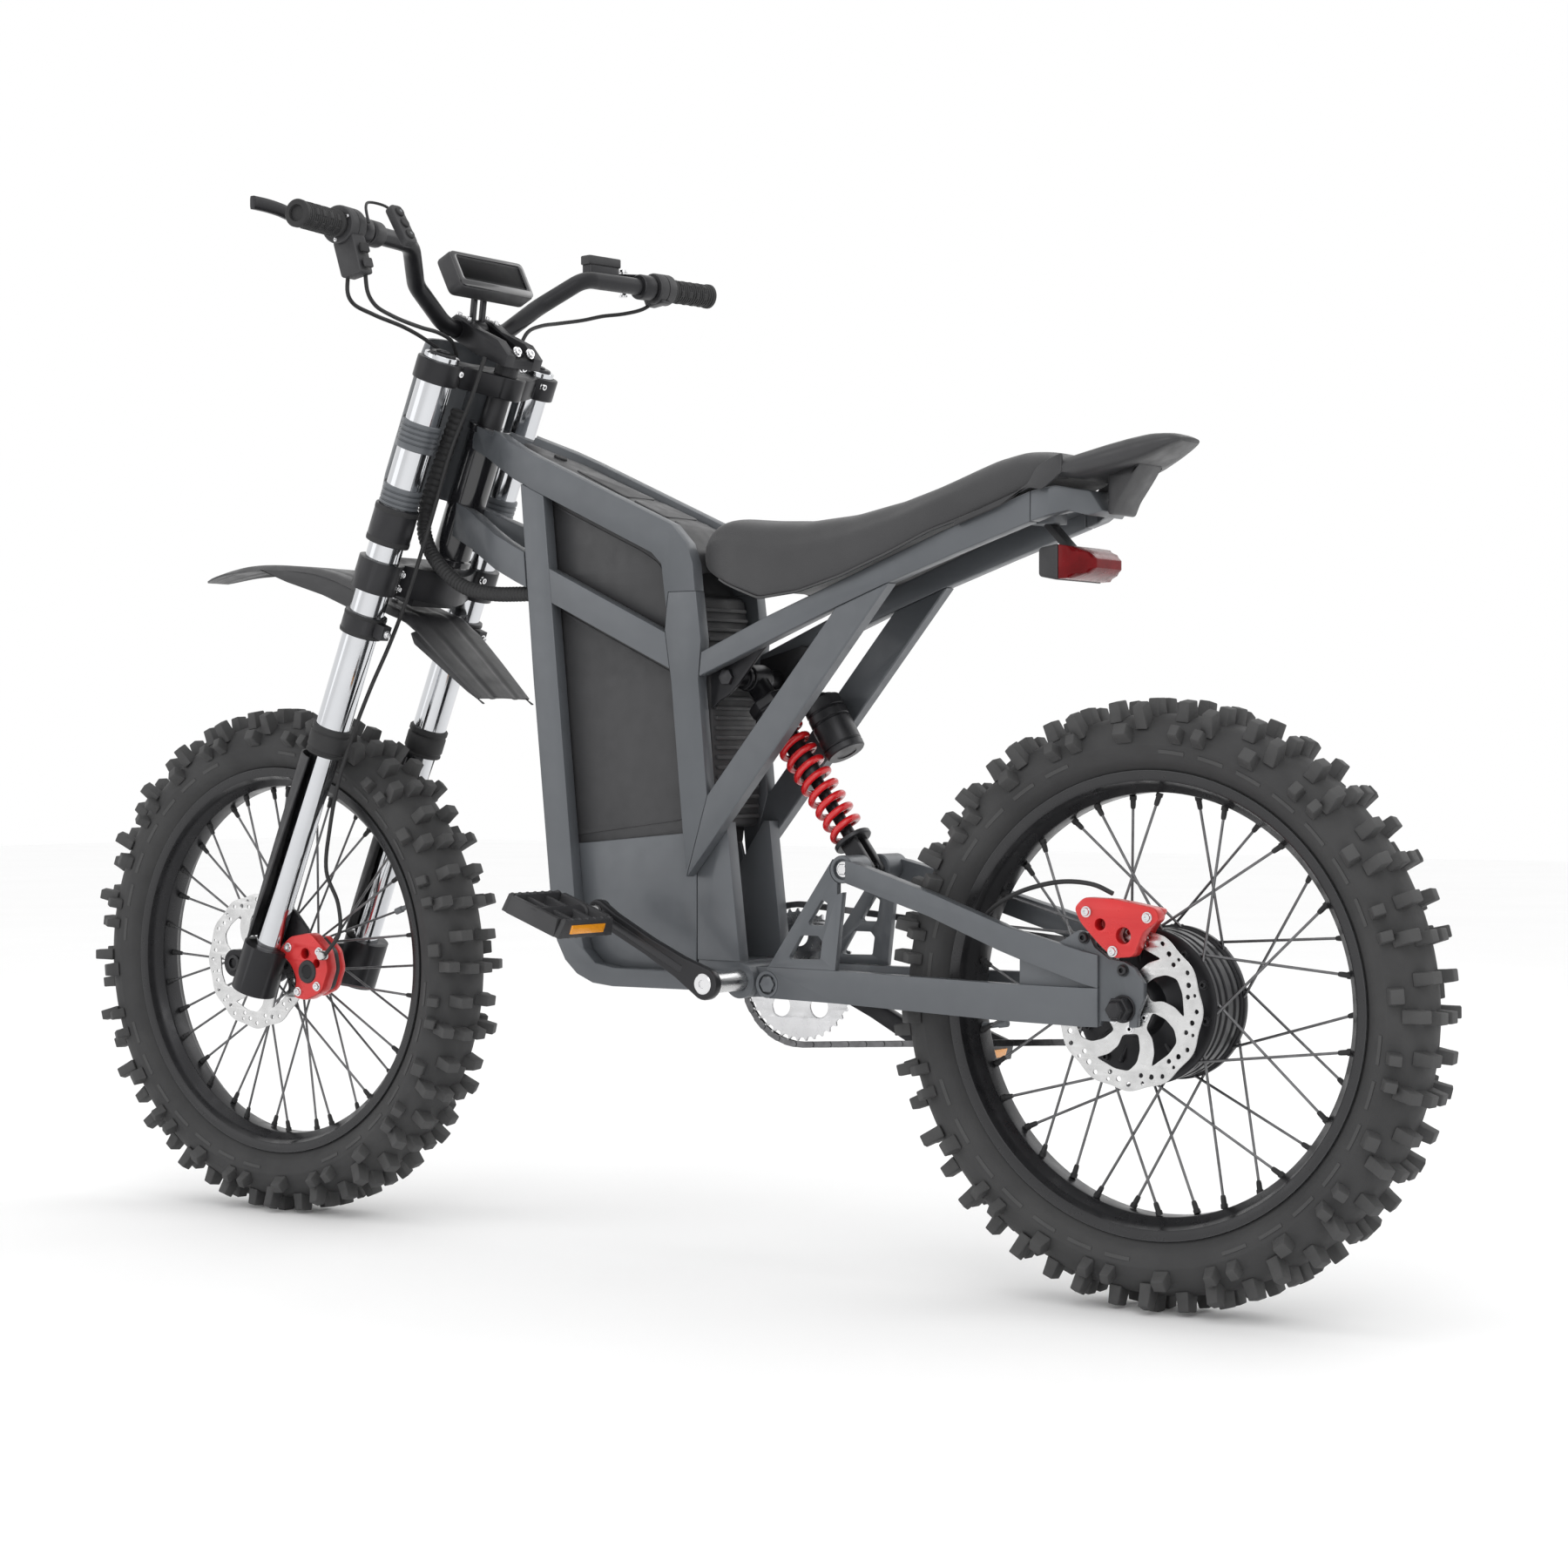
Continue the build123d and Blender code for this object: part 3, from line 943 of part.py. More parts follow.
with BuildPart() as shock_shaft:
    # damper rod, spring seat and the fork that straddles the lower bolt
    rod(on_shock(118), on_shock(240), 7.9)
    rod(on_shock(233), on_shock(239), 23.0)
    for y0 in (5.5, -13.5):
        prism([beside(238, 12), beside(SHOCK_L + 12, 11), beside(SHOCK_L + 12, -11), beside(238, -12)], y0, y0 + 8)
    rod_y(LINK[0], LINK[1], 8.5, -20, 20, mode=Mode.SUBTRACT)
save(shock_shaft, "shock_shaft")

with BuildPart() as shock_spring:
    # coil spring between the damper body and the lower seat
    COILS, WIRE = 9.5, 4.2
    s0, s1 = 66.6, 228.4
    with BuildLine() as coil:
        Helix(pitch=(s1 - s0) / COILS, height=s1 - s0, radius=18.0, center=on_shock(s0), direction=SD)
    with BuildSketch(Plane(origin=coil.wire() @ 0, z_dir=coil.wire() % 0)) as sk_w:
        Circle(WIRE)
    sweep(sk_w.sketch, path=coil.wire(), is_frenet=True)
save(shock_spring, "shock_spring")
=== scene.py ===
import bpy
import bmesh
import math
import random
import numpy as np
from mathutils import Vector, Matrix


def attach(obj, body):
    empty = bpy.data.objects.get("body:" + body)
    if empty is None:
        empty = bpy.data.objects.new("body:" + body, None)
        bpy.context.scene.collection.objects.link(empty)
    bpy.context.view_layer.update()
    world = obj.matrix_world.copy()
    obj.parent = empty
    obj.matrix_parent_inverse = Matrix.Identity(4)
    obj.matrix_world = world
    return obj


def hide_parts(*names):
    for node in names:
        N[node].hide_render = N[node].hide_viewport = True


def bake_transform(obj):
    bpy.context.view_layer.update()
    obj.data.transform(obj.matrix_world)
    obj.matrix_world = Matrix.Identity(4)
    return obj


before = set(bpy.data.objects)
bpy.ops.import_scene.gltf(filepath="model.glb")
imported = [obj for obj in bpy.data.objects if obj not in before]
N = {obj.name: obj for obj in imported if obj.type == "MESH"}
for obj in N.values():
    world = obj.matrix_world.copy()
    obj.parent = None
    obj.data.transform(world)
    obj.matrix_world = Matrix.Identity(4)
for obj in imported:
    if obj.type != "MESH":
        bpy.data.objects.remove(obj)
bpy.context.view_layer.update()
K = 0.001
random.seed(7)

# ------------------------------------------------------------ camera, light
cam_data = bpy.data.cameras.new("camera")
cam = bpy.data.objects.new("camera", cam_data)
bpy.context.scene.collection.objects.link(cam)
cam.location = (-2.2359, 2.9587, 0.5959)
cam.rotation_euler = Vector((0.5767, -0.8170, -0.0087)).to_track_quat("-Z", "Y").to_euler()
cam_data.lens = 71.02
cam_data.sensor_width = 36.0
cam_data.clip_end = 60
bpy.context.scene.camera = cam

world = bpy.data.worlds.new("studio")
bpy.context.scene.world = world
world.use_nodes = True
world.node_tree.nodes["Background"].inputs[0].default_value = (1, 1, 1, 1)
world.node_tree.nodes["Background"].inputs[1].default_value = 1.0
bpy.context.scene.view_settings.view_transform = "Standard"


def area(name, loc, target, size, power):
    d = bpy.data.lights.new(name, "AREA")
    d.shape = "RECTANGLE"
    d.size, d.size_y = size
    d.energy = power
    o = bpy.data.objects.new(name, d)
    bpy.context.scene.collection.objects.link(o)
    o.location = loc
    o.rotation_euler = (Vector(target) - Vector(loc)).to_track_quat("-Z", "Y").to_euler()
    return o


area("key", (-2.6, 3.4, 3.2), (0, 0, 0.5), (2.6, 2.0), 34)
area("fill", (2.8, 3.2, 1.9), (0, 0, 0.5), (2.4, 2.4), 10)
area("rim_light", (-1.0, -3.4, 2.8), (0, 0, 0.6), (3.2, 1.6), 16)
area("top", (0, 0.4, 4.0), (0, 0, 0.5), (3.0, 2.0), 14)

floor_me = bpy.data.meshes.new("floor")
floor_me.from_pydata([(-14, -14, 0), (14, -14, 0), (14, 14, 0), (-14, 14, 0)], [], [(0, 1, 2, 3)])
floor_o = bpy.data.objects.new("floor", floor_me)
bpy.context.scene.collection.objects.link(floor_o)


# ---------------------------------------------------------------- materials
def mat(name, color, rough=0.5, metal=0.0, var=0.08, var_scale=18.0, rvar=0.08, bump=0.04, bump_scale=900.0,
        coat=0.0, wear=0.0, wear_color=None, spec=0.5, sheen=0.0, bevel=0.0, dust=0.0, cell=0.0, stretch=None, transmission=0.0):
    m = bpy.data.materials.new(name)
    m.use_nodes = True
    nt = m.node_tree
    nt.nodes.clear()
    out = nt.nodes.new("ShaderNodeOutputMaterial")
    b = nt.nodes.new("ShaderNodeBsdfPrincipled")
    nt.links.new(b.outputs[0], out.inputs[0])
    b.inputs["Metallic"].default_value = metal
    b.inputs["Specular IOR Level"].default_value = spec
    b.inputs["Coat Weight"].default_value = coat
    b.inputs["Coat Roughness"].default_value = 0.12
    if sheen:
        b.inputs["Sheen Weight"].default_value = sheen
    if transmission:
        b.inputs["Transmission Weight"].default_value = transmission
    tc = nt.nodes.new("ShaderNodeTexCoord")
    src = tc.outputs["Object"]
    if stretch:
        mp = nt.nodes.new("ShaderNodeMapping")
        mp.inputs["Scale"].default_value = stretch
        nt.links.new(src, mp.inputs["Vector"])
        src = mp.outputs[0]
    n1 = nt.nodes.new("ShaderNodeTexNoise")
    n1.inputs["Scale"].default_value = var_scale
    n1.inputs["Detail"].default_value = 6
    nt.links.new(src, n1.inputs["Vector"])
    ramp = nt.nodes.new("ShaderNodeValToRGB")
    c = color
    ramp.color_ramp.elements[0].position = 0.3
    ramp.color_ramp.elements[0].color = (c[0] * (1 - var), c[1] * (1 - var), c[2] * (1 - var), 1)
    ramp.color_ramp.elements[1].position = 0.7
    ramp.color_ramp.elements[1].color = (min(1, c[0] * (1 + var)), min(1, c[1] * (1 + var)), min(1, c[2] * (1 + var)), 1)
    nt.links.new(n1.outputs["Fac"], ramp.inputs[0])
    col = ramp.outputs[0]
    if dust:
        nd = nt.nodes.new("ShaderNodeTexNoise")
        nd.inputs["Scale"].default_value = 7
        nd.inputs["Detail"].default_value = 8
        nt.links.new(tc.outputs["Object"], nd.inputs["Vector"])
        rd = nt.nodes.new("ShaderNodeMapRange")
        rd.inputs[1].default_value, rd.inputs[2].default_value = 0.45, 0.8
        rd.inputs[3].default_value, rd.inputs[4].default_value = 0.0, dust
        nt.links.new(nd.outputs["Fac"], rd.inputs[0])
        mx = nt.nodes.new("ShaderNodeMix")
        mx.data_type = "RGBA"
        nt.links.new(rd.outputs[0], mx.inputs[0])
        nt.links.new(col, mx.inputs[6])
        mx.inputs[7].default_value = (min(1, c[0] * 2.2), min(1, c[1] * 2.2), min(1, c[2] * 2.1), 1)
        col = mx.outputs[2]
    if wear:
        g = nt.nodes.new("ShaderNodeNewGeometry")
        wr = nt.nodes.new("ShaderNodeMapRange")
        wr.inputs[1].default_value, wr.inputs[2].default_value = 0.515, 0.56
        wr.inputs[3].default_value, wr.inputs[4].default_value = 0.0, wear
        nt.links.new(g.outputs["Pointiness"], wr.inputs[0])
        mx = nt.nodes.new("ShaderNodeMix")
        mx.data_type = "RGBA"
        nt.links.new(wr.outputs[0], mx.inputs[0])
        nt.links.new(col, mx.inputs[6])
        wc = wear_color or tuple(min(1, v * 2 + 0.05) for v in c)
        mx.inputs[7].default_value = (wc[0], wc[1], wc[2], 1)
        col = mx.outputs[2]
    nt.links.new(col, b.inputs["Base Color"])
    n2 = nt.nodes.new("ShaderNodeTexNoise")
    n2.inputs["Scale"].default_value = var_scale * 3.1
    n2.inputs["Detail"].default_value = 5
    nt.links.new(src, n2.inputs["Vector"])
    mr = nt.nodes.new("ShaderNodeMapRange")
    mr.inputs[1].default_value, mr.inputs[2].default_value = 0.3, 0.7
    mr.inputs[3].default_value = max(0.02, rough - rvar)
    mr.inputs[4].default_value = min(1.0, rough + rvar)
    nt.links.new(n2.outputs["Fac"], mr.inputs[0])
    nt.links.new(mr.outputs[0], b.inputs["Roughness"])
    if bump:
        if cell:
            n3 = nt.nodes.new("ShaderNodeTexVoronoi")
            n3.feature = "F1"
            n3.inputs["Scale"].default_value = cell
            h = n3.outputs["Distance"]
        else:
            n3 = nt.nodes.new("ShaderNodeTexNoise")
            n3.inputs["Scale"].default_value = bump_scale
            n3.inputs["Detail"].default_value = 3
            h = n3.outputs["Fac"]
        nt.links.new(src, n3.inputs["Vector"])
        bp = nt.nodes.new("ShaderNodeBump")
        bp.inputs["Strength"].default_value = bump
        bp.inputs["Distance"].default_value = 0.0006
        nt.links.new(h, bp.inputs["Height"])
        nt.links.new(bp.outputs[0], b.inputs["Normal"])
    return m


M = {
    "frame": mat("frame_paint", (0.080, 0.087, 0.096), 0.42, 0.25, var=0.05, bump=0.10, bump_scale=1500, coat=0.15, wear=0.25, wear_color=(0.20, 0.21, 0.225)),
    "black_metal": mat("black_metal", (0.012, 0.012, 0.014), 0.36, 0.5, var=0.15, bump=0.06, bump_scale=1400, wear=0.25, wear_color=(0.10, 0.10, 0.105)),
    "black_plastic": mat("black_plastic", (0.020, 0.020, 0.022), 0.52, 0.0, var=0.12, bump=0.22, bump_scale=2200, wear=0.2),
    "gloss_black": mat("gloss_black", (0.012, 0.012, 0.014), 0.16, 0.0, var=0.2, bump=0.01, coat=0.6),
    "case": mat("case_plastic", (0.032, 0.032, 0.034), 0.55, 0.0, var=0.07, bump=0.25, bump_scale=2600, wear=0.2),
    "cover": mat("cover_plastic", (0.027, 0.027, 0.029), 0.40, 0.0, var=0.08, bump=0.12, bump_scale=2200, wear=0.2),
    "vinyl": mat("seat_vinyl", (0.028, 0.028, 0.030), 0.50, 0.0, var=0.06, var_scale=9, bump=0.35, cell=950, sheen=0.12, rvar=0.06),
    "fender": mat("fender_plastic", (0.025, 0.025, 0.027), 0.42, 0.0, var=0.08, bump=0.12, bump_scale=1800, wear=0.15),
    "chrome": mat("chrome", (0.62, 0.63, 0.65), 0.09, 1.0, var=0.02, bump=0.0, rvar=0.03),
    "steel": mat("steel", (0.60, 0.60, 0.60), 0.28, 1.0, var=0.06, bump=0.08, bump_scale=1200, stretch=(1, 1, 6)),
    "disc": mat("disc_steel", (0.62, 0.62, 0.62), 0.30, 1.0, var=0.10, var_scale=60, bump=0.15, bump_scale=900),
    "alloy": mat("alloy", (0.66, 0.66, 0.67), 0.25, 1.0, var=0.06, bump=0.05, bump_scale=1000),
    "bolt": mat("bolt_zinc", (0.74, 0.74, 0.75), 0.18, 1.0, var=0.05, bump=0.04, bump_scale=1500),
    "tyre": mat("tyre_rubber", (0.041, 0.041, 0.042), 0.68, 0.0, var=0.12, var_scale=12, bump=0.45, bump_scale=1300, dust=0.30, wear=0.35, wear_color=(0.10, 0.10, 0.10), spec=0.35),
    "rim": mat("rim_black", (0.020, 0.020, 0.022), 0.30, 0.5, var=0.1, bump=0.04, wear=0.2, wear_color=(0.11, 0.11, 0.11)),
    "flange": mat("rim_flange", (0.085, 0.087, 0.090), 0.38, 0.5, var=0.08, bump=0.06, bump_scale=900),
    "red": mat("red_paint", (0.62, 0.010, 0.014), 0.26, 0.0, var=0.05, bump=0.02, coat=0.5),
    "red_cal": mat("red_anodised", (0.56, 0.012, 0.016), 0.32, 0.25, var=0.08, bump=0.08, coat=0.2, wear=0.25, wear_color=(0.75, 0.12, 0.10)),
    "rubber": mat("rubber", (0.024, 0.024, 0.025), 0.60, 0.0, var=0.12, bump=0.3, bump_scale=1500, spec=0.35),
    "grip": mat("grip_rubber", (0.026, 0.026, 0.027), 0.62, 0.0, var=0.12, bump=0.35, bump_scale=1700, spec=0.35),
    "lens": mat("red_lens", (0.14, 0.005, 0.007), 0.22, 0.0, var=0.25, var_scale=40, bump=0.12, cell=260, coat=0.0, spec=0.14),
    "amber": mat("amber_reflector", (0.80, 0.30, 0.010), 0.20, 0.0, var=0.12, bump=0.5, cell=420, coat=0.5),
    "screen": mat("display_glass", (0.004, 0.004, 0.005), 0.30, 0.0, var=0.0, rvar=0.0, bump=0.0, coat=0.0, spec=0.06),
    "chain": mat("chain_steel", (0.16, 0.16, 0.165), 0.36, 0.9, var=0.2, var_scale=90, bump=0.1),
    "grey": mat("grey_plastic", (0.15, 0.16, 0.17), 0.45, 0.0, var=0.06, bump=0.15, bump_scale=2200),
    "orange": mat("key_marker", (0.75, 0.16, 0.02), 0.4, 0.0, var=0.06, bump=0.1),
    "floor": mat("studio_floor", (0.97, 0.97, 0.97), 0.85, 0.0, var=0.01, var_scale=2, bump=0.0),
}
floor_me.materials.append(M["floor"])


# ----------------------------------------------------------- mesh utilities
def piece(name, verts, faces, m, body, smooth=35, replaces=None, bevel=0.0, seg=2, sub=0, solid=0.0, weld=0.0, blend=None, clean=True, angle=30):
    """New object from vertices in mm; modifiers are applied, then it rides its body; with blend it is only baked in
    place, unparented.
    """
    me = bpy.data.meshes.new(name)
    me.from_pydata([(float(v[0]) * K, float(v[1]) * K, float(v[2]) * K) for v in verts], [], [tuple(int(i) for i in f) for f in faces])
    me.validate()
    return dress(name, me, m, body, smooth, replaces, bevel, seg, sub, solid, weld, blend, clean, angle)


def dress(name, me, m, body, smooth=35, replaces=None, bevel=0.0, seg=2, sub=0, solid=0.0, weld=0.0, blend=None, clean=True, angle=30):
    if clean:
        bm = bmesh.new()
        bm.from_mesh(me)
        bmesh.ops.remove_doubles(bm, verts=bm.verts, dist=1e-6)
        bmesh.ops.recalc_face_normals(bm, faces=bm.faces)
        bm.to_mesh(me)
        bm.free()
    o = bpy.data.objects.new(name, me)
    bpy.context.scene.collection.objects.link(o)
    if solid:
        md = o.modifiers.new("solid", "SOLIDIFY")
        md.thickness = abs(solid) * K
        md.offset = -1 if solid > 0 else 1
    if sub:
        md = o.modifiers.new("sub", "SUBSURF")
        md.levels = md.render_levels = sub
    if bevel:
        md = o.modifiers.new("bevel", "BEVEL")
        md.width = bevel * K
        md.segments = seg
        md.limit_method = "ANGLE"
        md.angle_limit = math.radians(angle)
        md.use_clamp_overlap = True
    if solid or sub or bevel:
        dg = bpy.context.evaluated_depsgraph_get()
        me2 = bpy.data.meshes.new_from_object(o.evaluated_get(dg))
        o.modifiers.clear()
        old = o.data
        o.data = me2
        bpy.data.meshes.remove(old)
        me2.name = name
    me = o.data
    for p in me.polygons:
        p.use_smooth = True
    me.set_sharp_from_angle(angle=math.radians(smooth))
    me.materials.clear()
    me.materials.append(M[m])
    if blend:
        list(blend[:2])
        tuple(blend[2])
        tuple(blend[3])
        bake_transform(o)
    else:
        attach(o, body)
    if replaces:
        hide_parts(*([replaces] if isinstance(replaces, str) else replaces))
    return o


def soften(node, m, body, w=1.4, seg=2, name=None, smooth=35, angle=30, blend=None):
    """Beveled copy of a CAD node that stands for it."""
    me = N[node].data.copy()
    bm = bmesh.new()
    bm.from_mesh(me)
    bmesh.ops.remove_doubles(bm, verts=bm.verts, dist=2e-6)
    bmesh.ops.dissolve_limit(bm, angle_limit=math.radians(0.6), verts=bm.verts, edges=bm.edges)
    bm.to_mesh(me)
    bm.free()
    return dress(name or node + "_skin", me, m, body, smooth, node, w, seg, angle=angle, blend=blend)


def box_vf(sx, sy, sz, taper=1.0):
    v = []
    for z, t in ((-0.5, 1.0), (0.5, taper)):
        for x, y in ((-0.5, -0.5), (0.5, -0.5), (0.5, 0.5), (-0.5, 0.5)):
            v.append((x * sx * t, y * sy * t, z * sz))
    f = [(0, 3, 2, 1), (4, 5, 6, 7), (0, 1, 5, 4), (1, 2, 6, 5), (2, 3, 7, 6), (3, 0, 4, 7)]
    return v, f


class Pile:
    """Collects parts of one piece."""

    def __init__(self):
        self.v, self.f = [], []

    def add(self, verts, faces, mtx=None):
        k = len(self.v)
        for p in verts:
            q = Vector(p)
            if mtx is not None:
                q = mtx @ q
            self.v.append((q[0], q[1], q[2]))
        self.f += [tuple(i + k for i in f) for f in faces]
        return self


def frame_mtx(origin, z, x=None):
    z = Vector(z).normalized()
    x = Vector(x) if x is not None else (Vector((0, 1, 0)) if abs(z[1]) < 0.9 else Vector((1, 0, 0)))
    x = (x - z * x.dot(z)).normalized()
    y = z.cross(x)
    m = Matrix((x, y, z)).transposed().to_4x4()
    m.translation = Vector(origin)
    return m


def lathe_vf(profile, seg=48, closed=False):
    """Profile of (a, r) about +Z; with closed the profile is a loop, else its ends are capped."""
    v, f = [], []
    n = len(profile)
    for i in range(seg):
        a = 2 * math.pi * i / seg
        for h, r in profile:
            v.append((r * math.cos(a), r * math.sin(a), h))
    for i in range(seg):
        j = (i + 1) % seg
        for k in range(n if closed else n - 1):
            l = (k + 1) % n
            f.append((i * n + k, j * n + k, j * n + l, i * n + l))
    if not closed:
        if profile[0][1] > 1e-6:
            f.append(tuple(i * n for i in range(seg - 1, -1, -1)))
        if profile[-1][1] > 1e-6:
            f.append(tuple(i * n + n - 1 for i in range(seg)))
    return v, f


def lathe(name, profile, origin, axis, m, body, seg=48, closed=False, **kw):
    v, f = lathe_vf(profile, seg, closed)
    p = Pile().add(v, f, frame_mtx(origin, axis))
    return piece(name, p.v, p.f, m, body, **kw)


def smooth_path(points, step=4.0, close=False):
    """Evenly sampled centripetal Catmull-Rom line through the points."""
    P = [Vector(p) for p in points]
    if close:
        ext = [P[-1]] + P + [P[0], P[1]]
    else:
        ext = [P[0] * 2 - P[1]] + P + [P[-1] * 2 - P[-2]]
    out = []
    for i in range(1, len(ext) - 2):
        a, b, c, d = ext[i - 1:i + 3]
        n = max(2, int((c - b).length / step))
        t0 = 0.0
        t1 = t0 + max(1e-6, (b - a).length ** 0.5)
        t2 = t1 + max(1e-6, (c - b).length ** 0.5)
        t3 = t2 + max(1e-6, (d - c).length ** 0.5)
        for k in range(n):
            t = t1 + (t2 - t1) * k / n
            A1 = a * ((t1 - t) / (t1 - t0)) + b * ((t - t0) / (t1 - t0))
            A2 = b * ((t2 - t) / (t2 - t1)) + c * ((t - t1) / (t2 - t1))
            A3 = c * ((t3 - t) / (t3 - t2)) + d * ((t - t2) / (t3 - t2))
            B1 = A1 * ((t2 - t) / (t2 - t0)) + A2 * ((t - t0) / (t2 - t0))
            B2 = A2 * ((t3 - t) / (t3 - t1)) + A3 * ((t - t1) / (t3 - t1))
            out.append(B1 * ((t2 - t) / (t2 - t1)) + B2 * ((t - t1) / (t2 - t1)))
    if not close:
        out.append(P[-1])
    return out


def sweep_vf(path, radius, n=14, caps=True, section=None):
    """Tube along a path; radius is a number or a function of 0..1; section (u, v) pairs override the circle."""
    P = [Vector(p) for p in path]
    T = []
    for i in range(len(P)):
        a, b = P[max(0, i - 1)], P[min(len(P) - 1, i + 1)]
        T.append((b - a).normalized())
    up = Vector((0, 0, 1)) if abs(T[0].z) < 0.9 else Vector((0, 1, 0))
    x = (up - T[0] * up.dot(T[0])).normalized()
    v, f = [], []
    m = len(section) if section else n
    for i, (p, t) in enumerate(zip(P, T)):
        x = (x - t * x.dot(t)).normalized()
        y = t.cross(x)
        s = i / (len(P) - 1)
        r = radius(s) if callable(radius) else radius
        for k in range(m):
            if section:
                u, w = section[k]
                v.append(tuple(p + x * (u * r) + y * (w * r)))
            else:
                a = 2 * math.pi * k / n
                v.append(tuple(p + x * (r * math.cos(a)) + y * (r * math.sin(a))))
    for i in range(len(P) - 1):
        for k in range(m):
            l = (k + 1) % m
            f.append((i * m + k, i * m + l, (i + 1) * m + l, (i + 1) * m + k))
    if caps:
        f.append(tuple(range(m - 1, -1, -1)))
        f.append(tuple((len(P) - 1) * m + k for k in range(m)))
    return v, f


def tube(name, points, radius, m, body, step=4.0, n=14, path=None, **kw):
    v, f = sweep_vf(path or smooth_path(points, step), radius, n)
    return piece(name, v, f, m, body, **kw)


def plate_mesh(outlines, thick, edge=0.6, res=1):
    """Flat plate with holes from outlines of (u, v) in mm, centred on w = 0."""
    cu = bpy.data.curves.new("plate", "CURVE")
    cu.dimensions = "2D"
    cu.fill_mode = "BOTH"
    cu.extrude = max(0.0001, thick / 2 - edge) * K
    cu.bevel_depth = edge * K
    cu.bevel_resolution = res
    cu.offset = -edge * K
    for pts in outlines:
        sp = cu.splines.new("POLY")
        sp.points.add(len(pts) - 1)
        for i, (u, w) in enumerate(pts):
            sp.points[i].co = (u * K, w * K, 0, 1)
        sp.use_cyclic_u = True
    o = bpy.data.objects.new("plate_tmp", cu)
    bpy.context.scene.collection.objects.link(o)
    bpy.context.view_layer.update()
    dg = bpy.context.evaluated_depsgraph_get()
    me = bpy.data.meshes.new_from_object(o.evaluated_get(dg))
    bpy.data.objects.remove(o)
    bpy.data.curves.remove(cu)
    return me


def plate(name, outlines, thick, origin, u, w, m, body, edge=0.6, **kw):
    """Plate whose local u and v axes are given; the normal is u x w."""
    me = plate_mesh(outlines, thick, edge)
    u, w = Vector(u).normalized(), Vector(w).normalized()
    mt = Matrix((u, w, u.cross(w))).transposed().to_4x4()
    mt.translation = Vector(origin) * K
    me.transform(mt)
    return dress(name, me, m, body, **kw)


def circle(cx, cy, r, n=24, a0=0.0):
    return [(cx + r * math.cos(a0 + 2 * math.pi * i / n), cy + r * math.sin(a0 + 2 * math.pi * i / n)) for i in range(n)]


def round_poly(points, radius, n=4):
    """Polygon with rounded corners."""
    out = []
    L = len(points)
    for i in range(L):
        p, a, b = Vector(points[i]).to_2d(), Vector(points[i - 1]).to_2d(), Vector(points[(i + 1) % L]).to_2d()
        r = radius[i] if isinstance(radius, (list, tuple)) else radius
        da, db = (a - p), (b - p)
        k = min(r, da.length * 0.45, db.length * 0.45)
        if k < 0.05:
            out.append(tuple(p))
            continue
        s, e = p + da.normalized() * k, p + db.normalized() * k
        for j in range(n + 1):
            t = j / n
            out.append(tuple(s * (1 - t) ** 2 + p * (2 * t * (1 - t)) + e * t * t))
    return out


def bolt_vf(across=10, head=5, style="hex"):
    """Bolt head standing on z = 0, hexagon or socket cap with a washer."""
    pile = Pile()
    r = across / math.sqrt(3)
    v, f = lathe_vf([(0, r * 1.28), (1.2, r * 1.28), (1.2, 0)], 24)
    pile.add(v, f)
    if style == "hex":
        v, f = lathe_vf([(1.2, r), (head - 0.8, r), (head, r * 0.86), (head, 0)], 6)
    else:
        v, f = lathe_vf([(1.2, r), (head - 1, r), (head, r * 0.88), (head, r * 0.5), (head - 2.5, r * 0.5), (head - 2.5, 0)], 20)
    pile.add(v, f)
    return pile


def bolts(name, places, m, body, across=10, head=5, style="socket", **kw):
    """Bolt heads at (origin, direction) places as one piece."""
    pile = Pile()
    b = bolt_vf(across, head, style)
    for o, d in places:
        pile.add(b.v, b.f, frame_mtx(o, d))
    return piece(name, pile.v, pile.f, m, body, smooth=30, **kw)


RX, RZ = 0.3755, -0.9268


def leg(s, ahead=0.0, y=0.0):
    return Vector((300.9 + RX * s - RZ * ahead, y, 1092.6 + RZ * s + RX * ahead))


DOWN = Vector((RX, 0, RZ))
AHEAD = Vector((-RZ, 0, RX))
WB = 1294.4
AZ = 330.0
FX, BX = WB / 2, -WB / 2

# ------------------------------------------------------------- frame tubes
for node, m, body, w in (("upper_frame", "frame", "chassis", 1.6), ("frame_posts", "frame", "chassis", 1.6), ("subframe", "frame", "chassis", 1.6),
                         ("bottom_bracket", "frame", "chassis", 1.2), ("swing_arms", "frame", "swingarm", 1.6), ("arm_plates", "frame", "swingarm", 1.0)):
    soften(node, m, body, w)
soften("upper_crown", "black_metal", "steering", 1.6, 3)
soften("shock_mount", "black_metal", "chassis", 0.8)


def y_place(x, y, z, side=1):
    return (Vector((x, y, z)), Vector((0, side, 0)))


# head tube with its cups and the dust rings
HT0, HT1 = 86, 250
lathe("head_tube_body", [(HT0 - 9, 16), (HT0 - 9, 26.2), (HT0 - 8, 27.1), (HT0 - 1, 27.1), (HT0, 26.2), (HT0 + 1, 24.6), (HT0 + 9, 24.4), (HT1 - 9, 24.4), (HT1 - 1, 24.6),
                         (HT1, 26.2), (HT1 + 1, 27.1), (HT1 + 8, 27.1), (HT1 + 9, 26.2), (HT1 + 9, 16)], leg(0, -28), DOWN, "gloss_black", "chassis", 56,
      closed=True, smooth=32, replaces="head_tube")


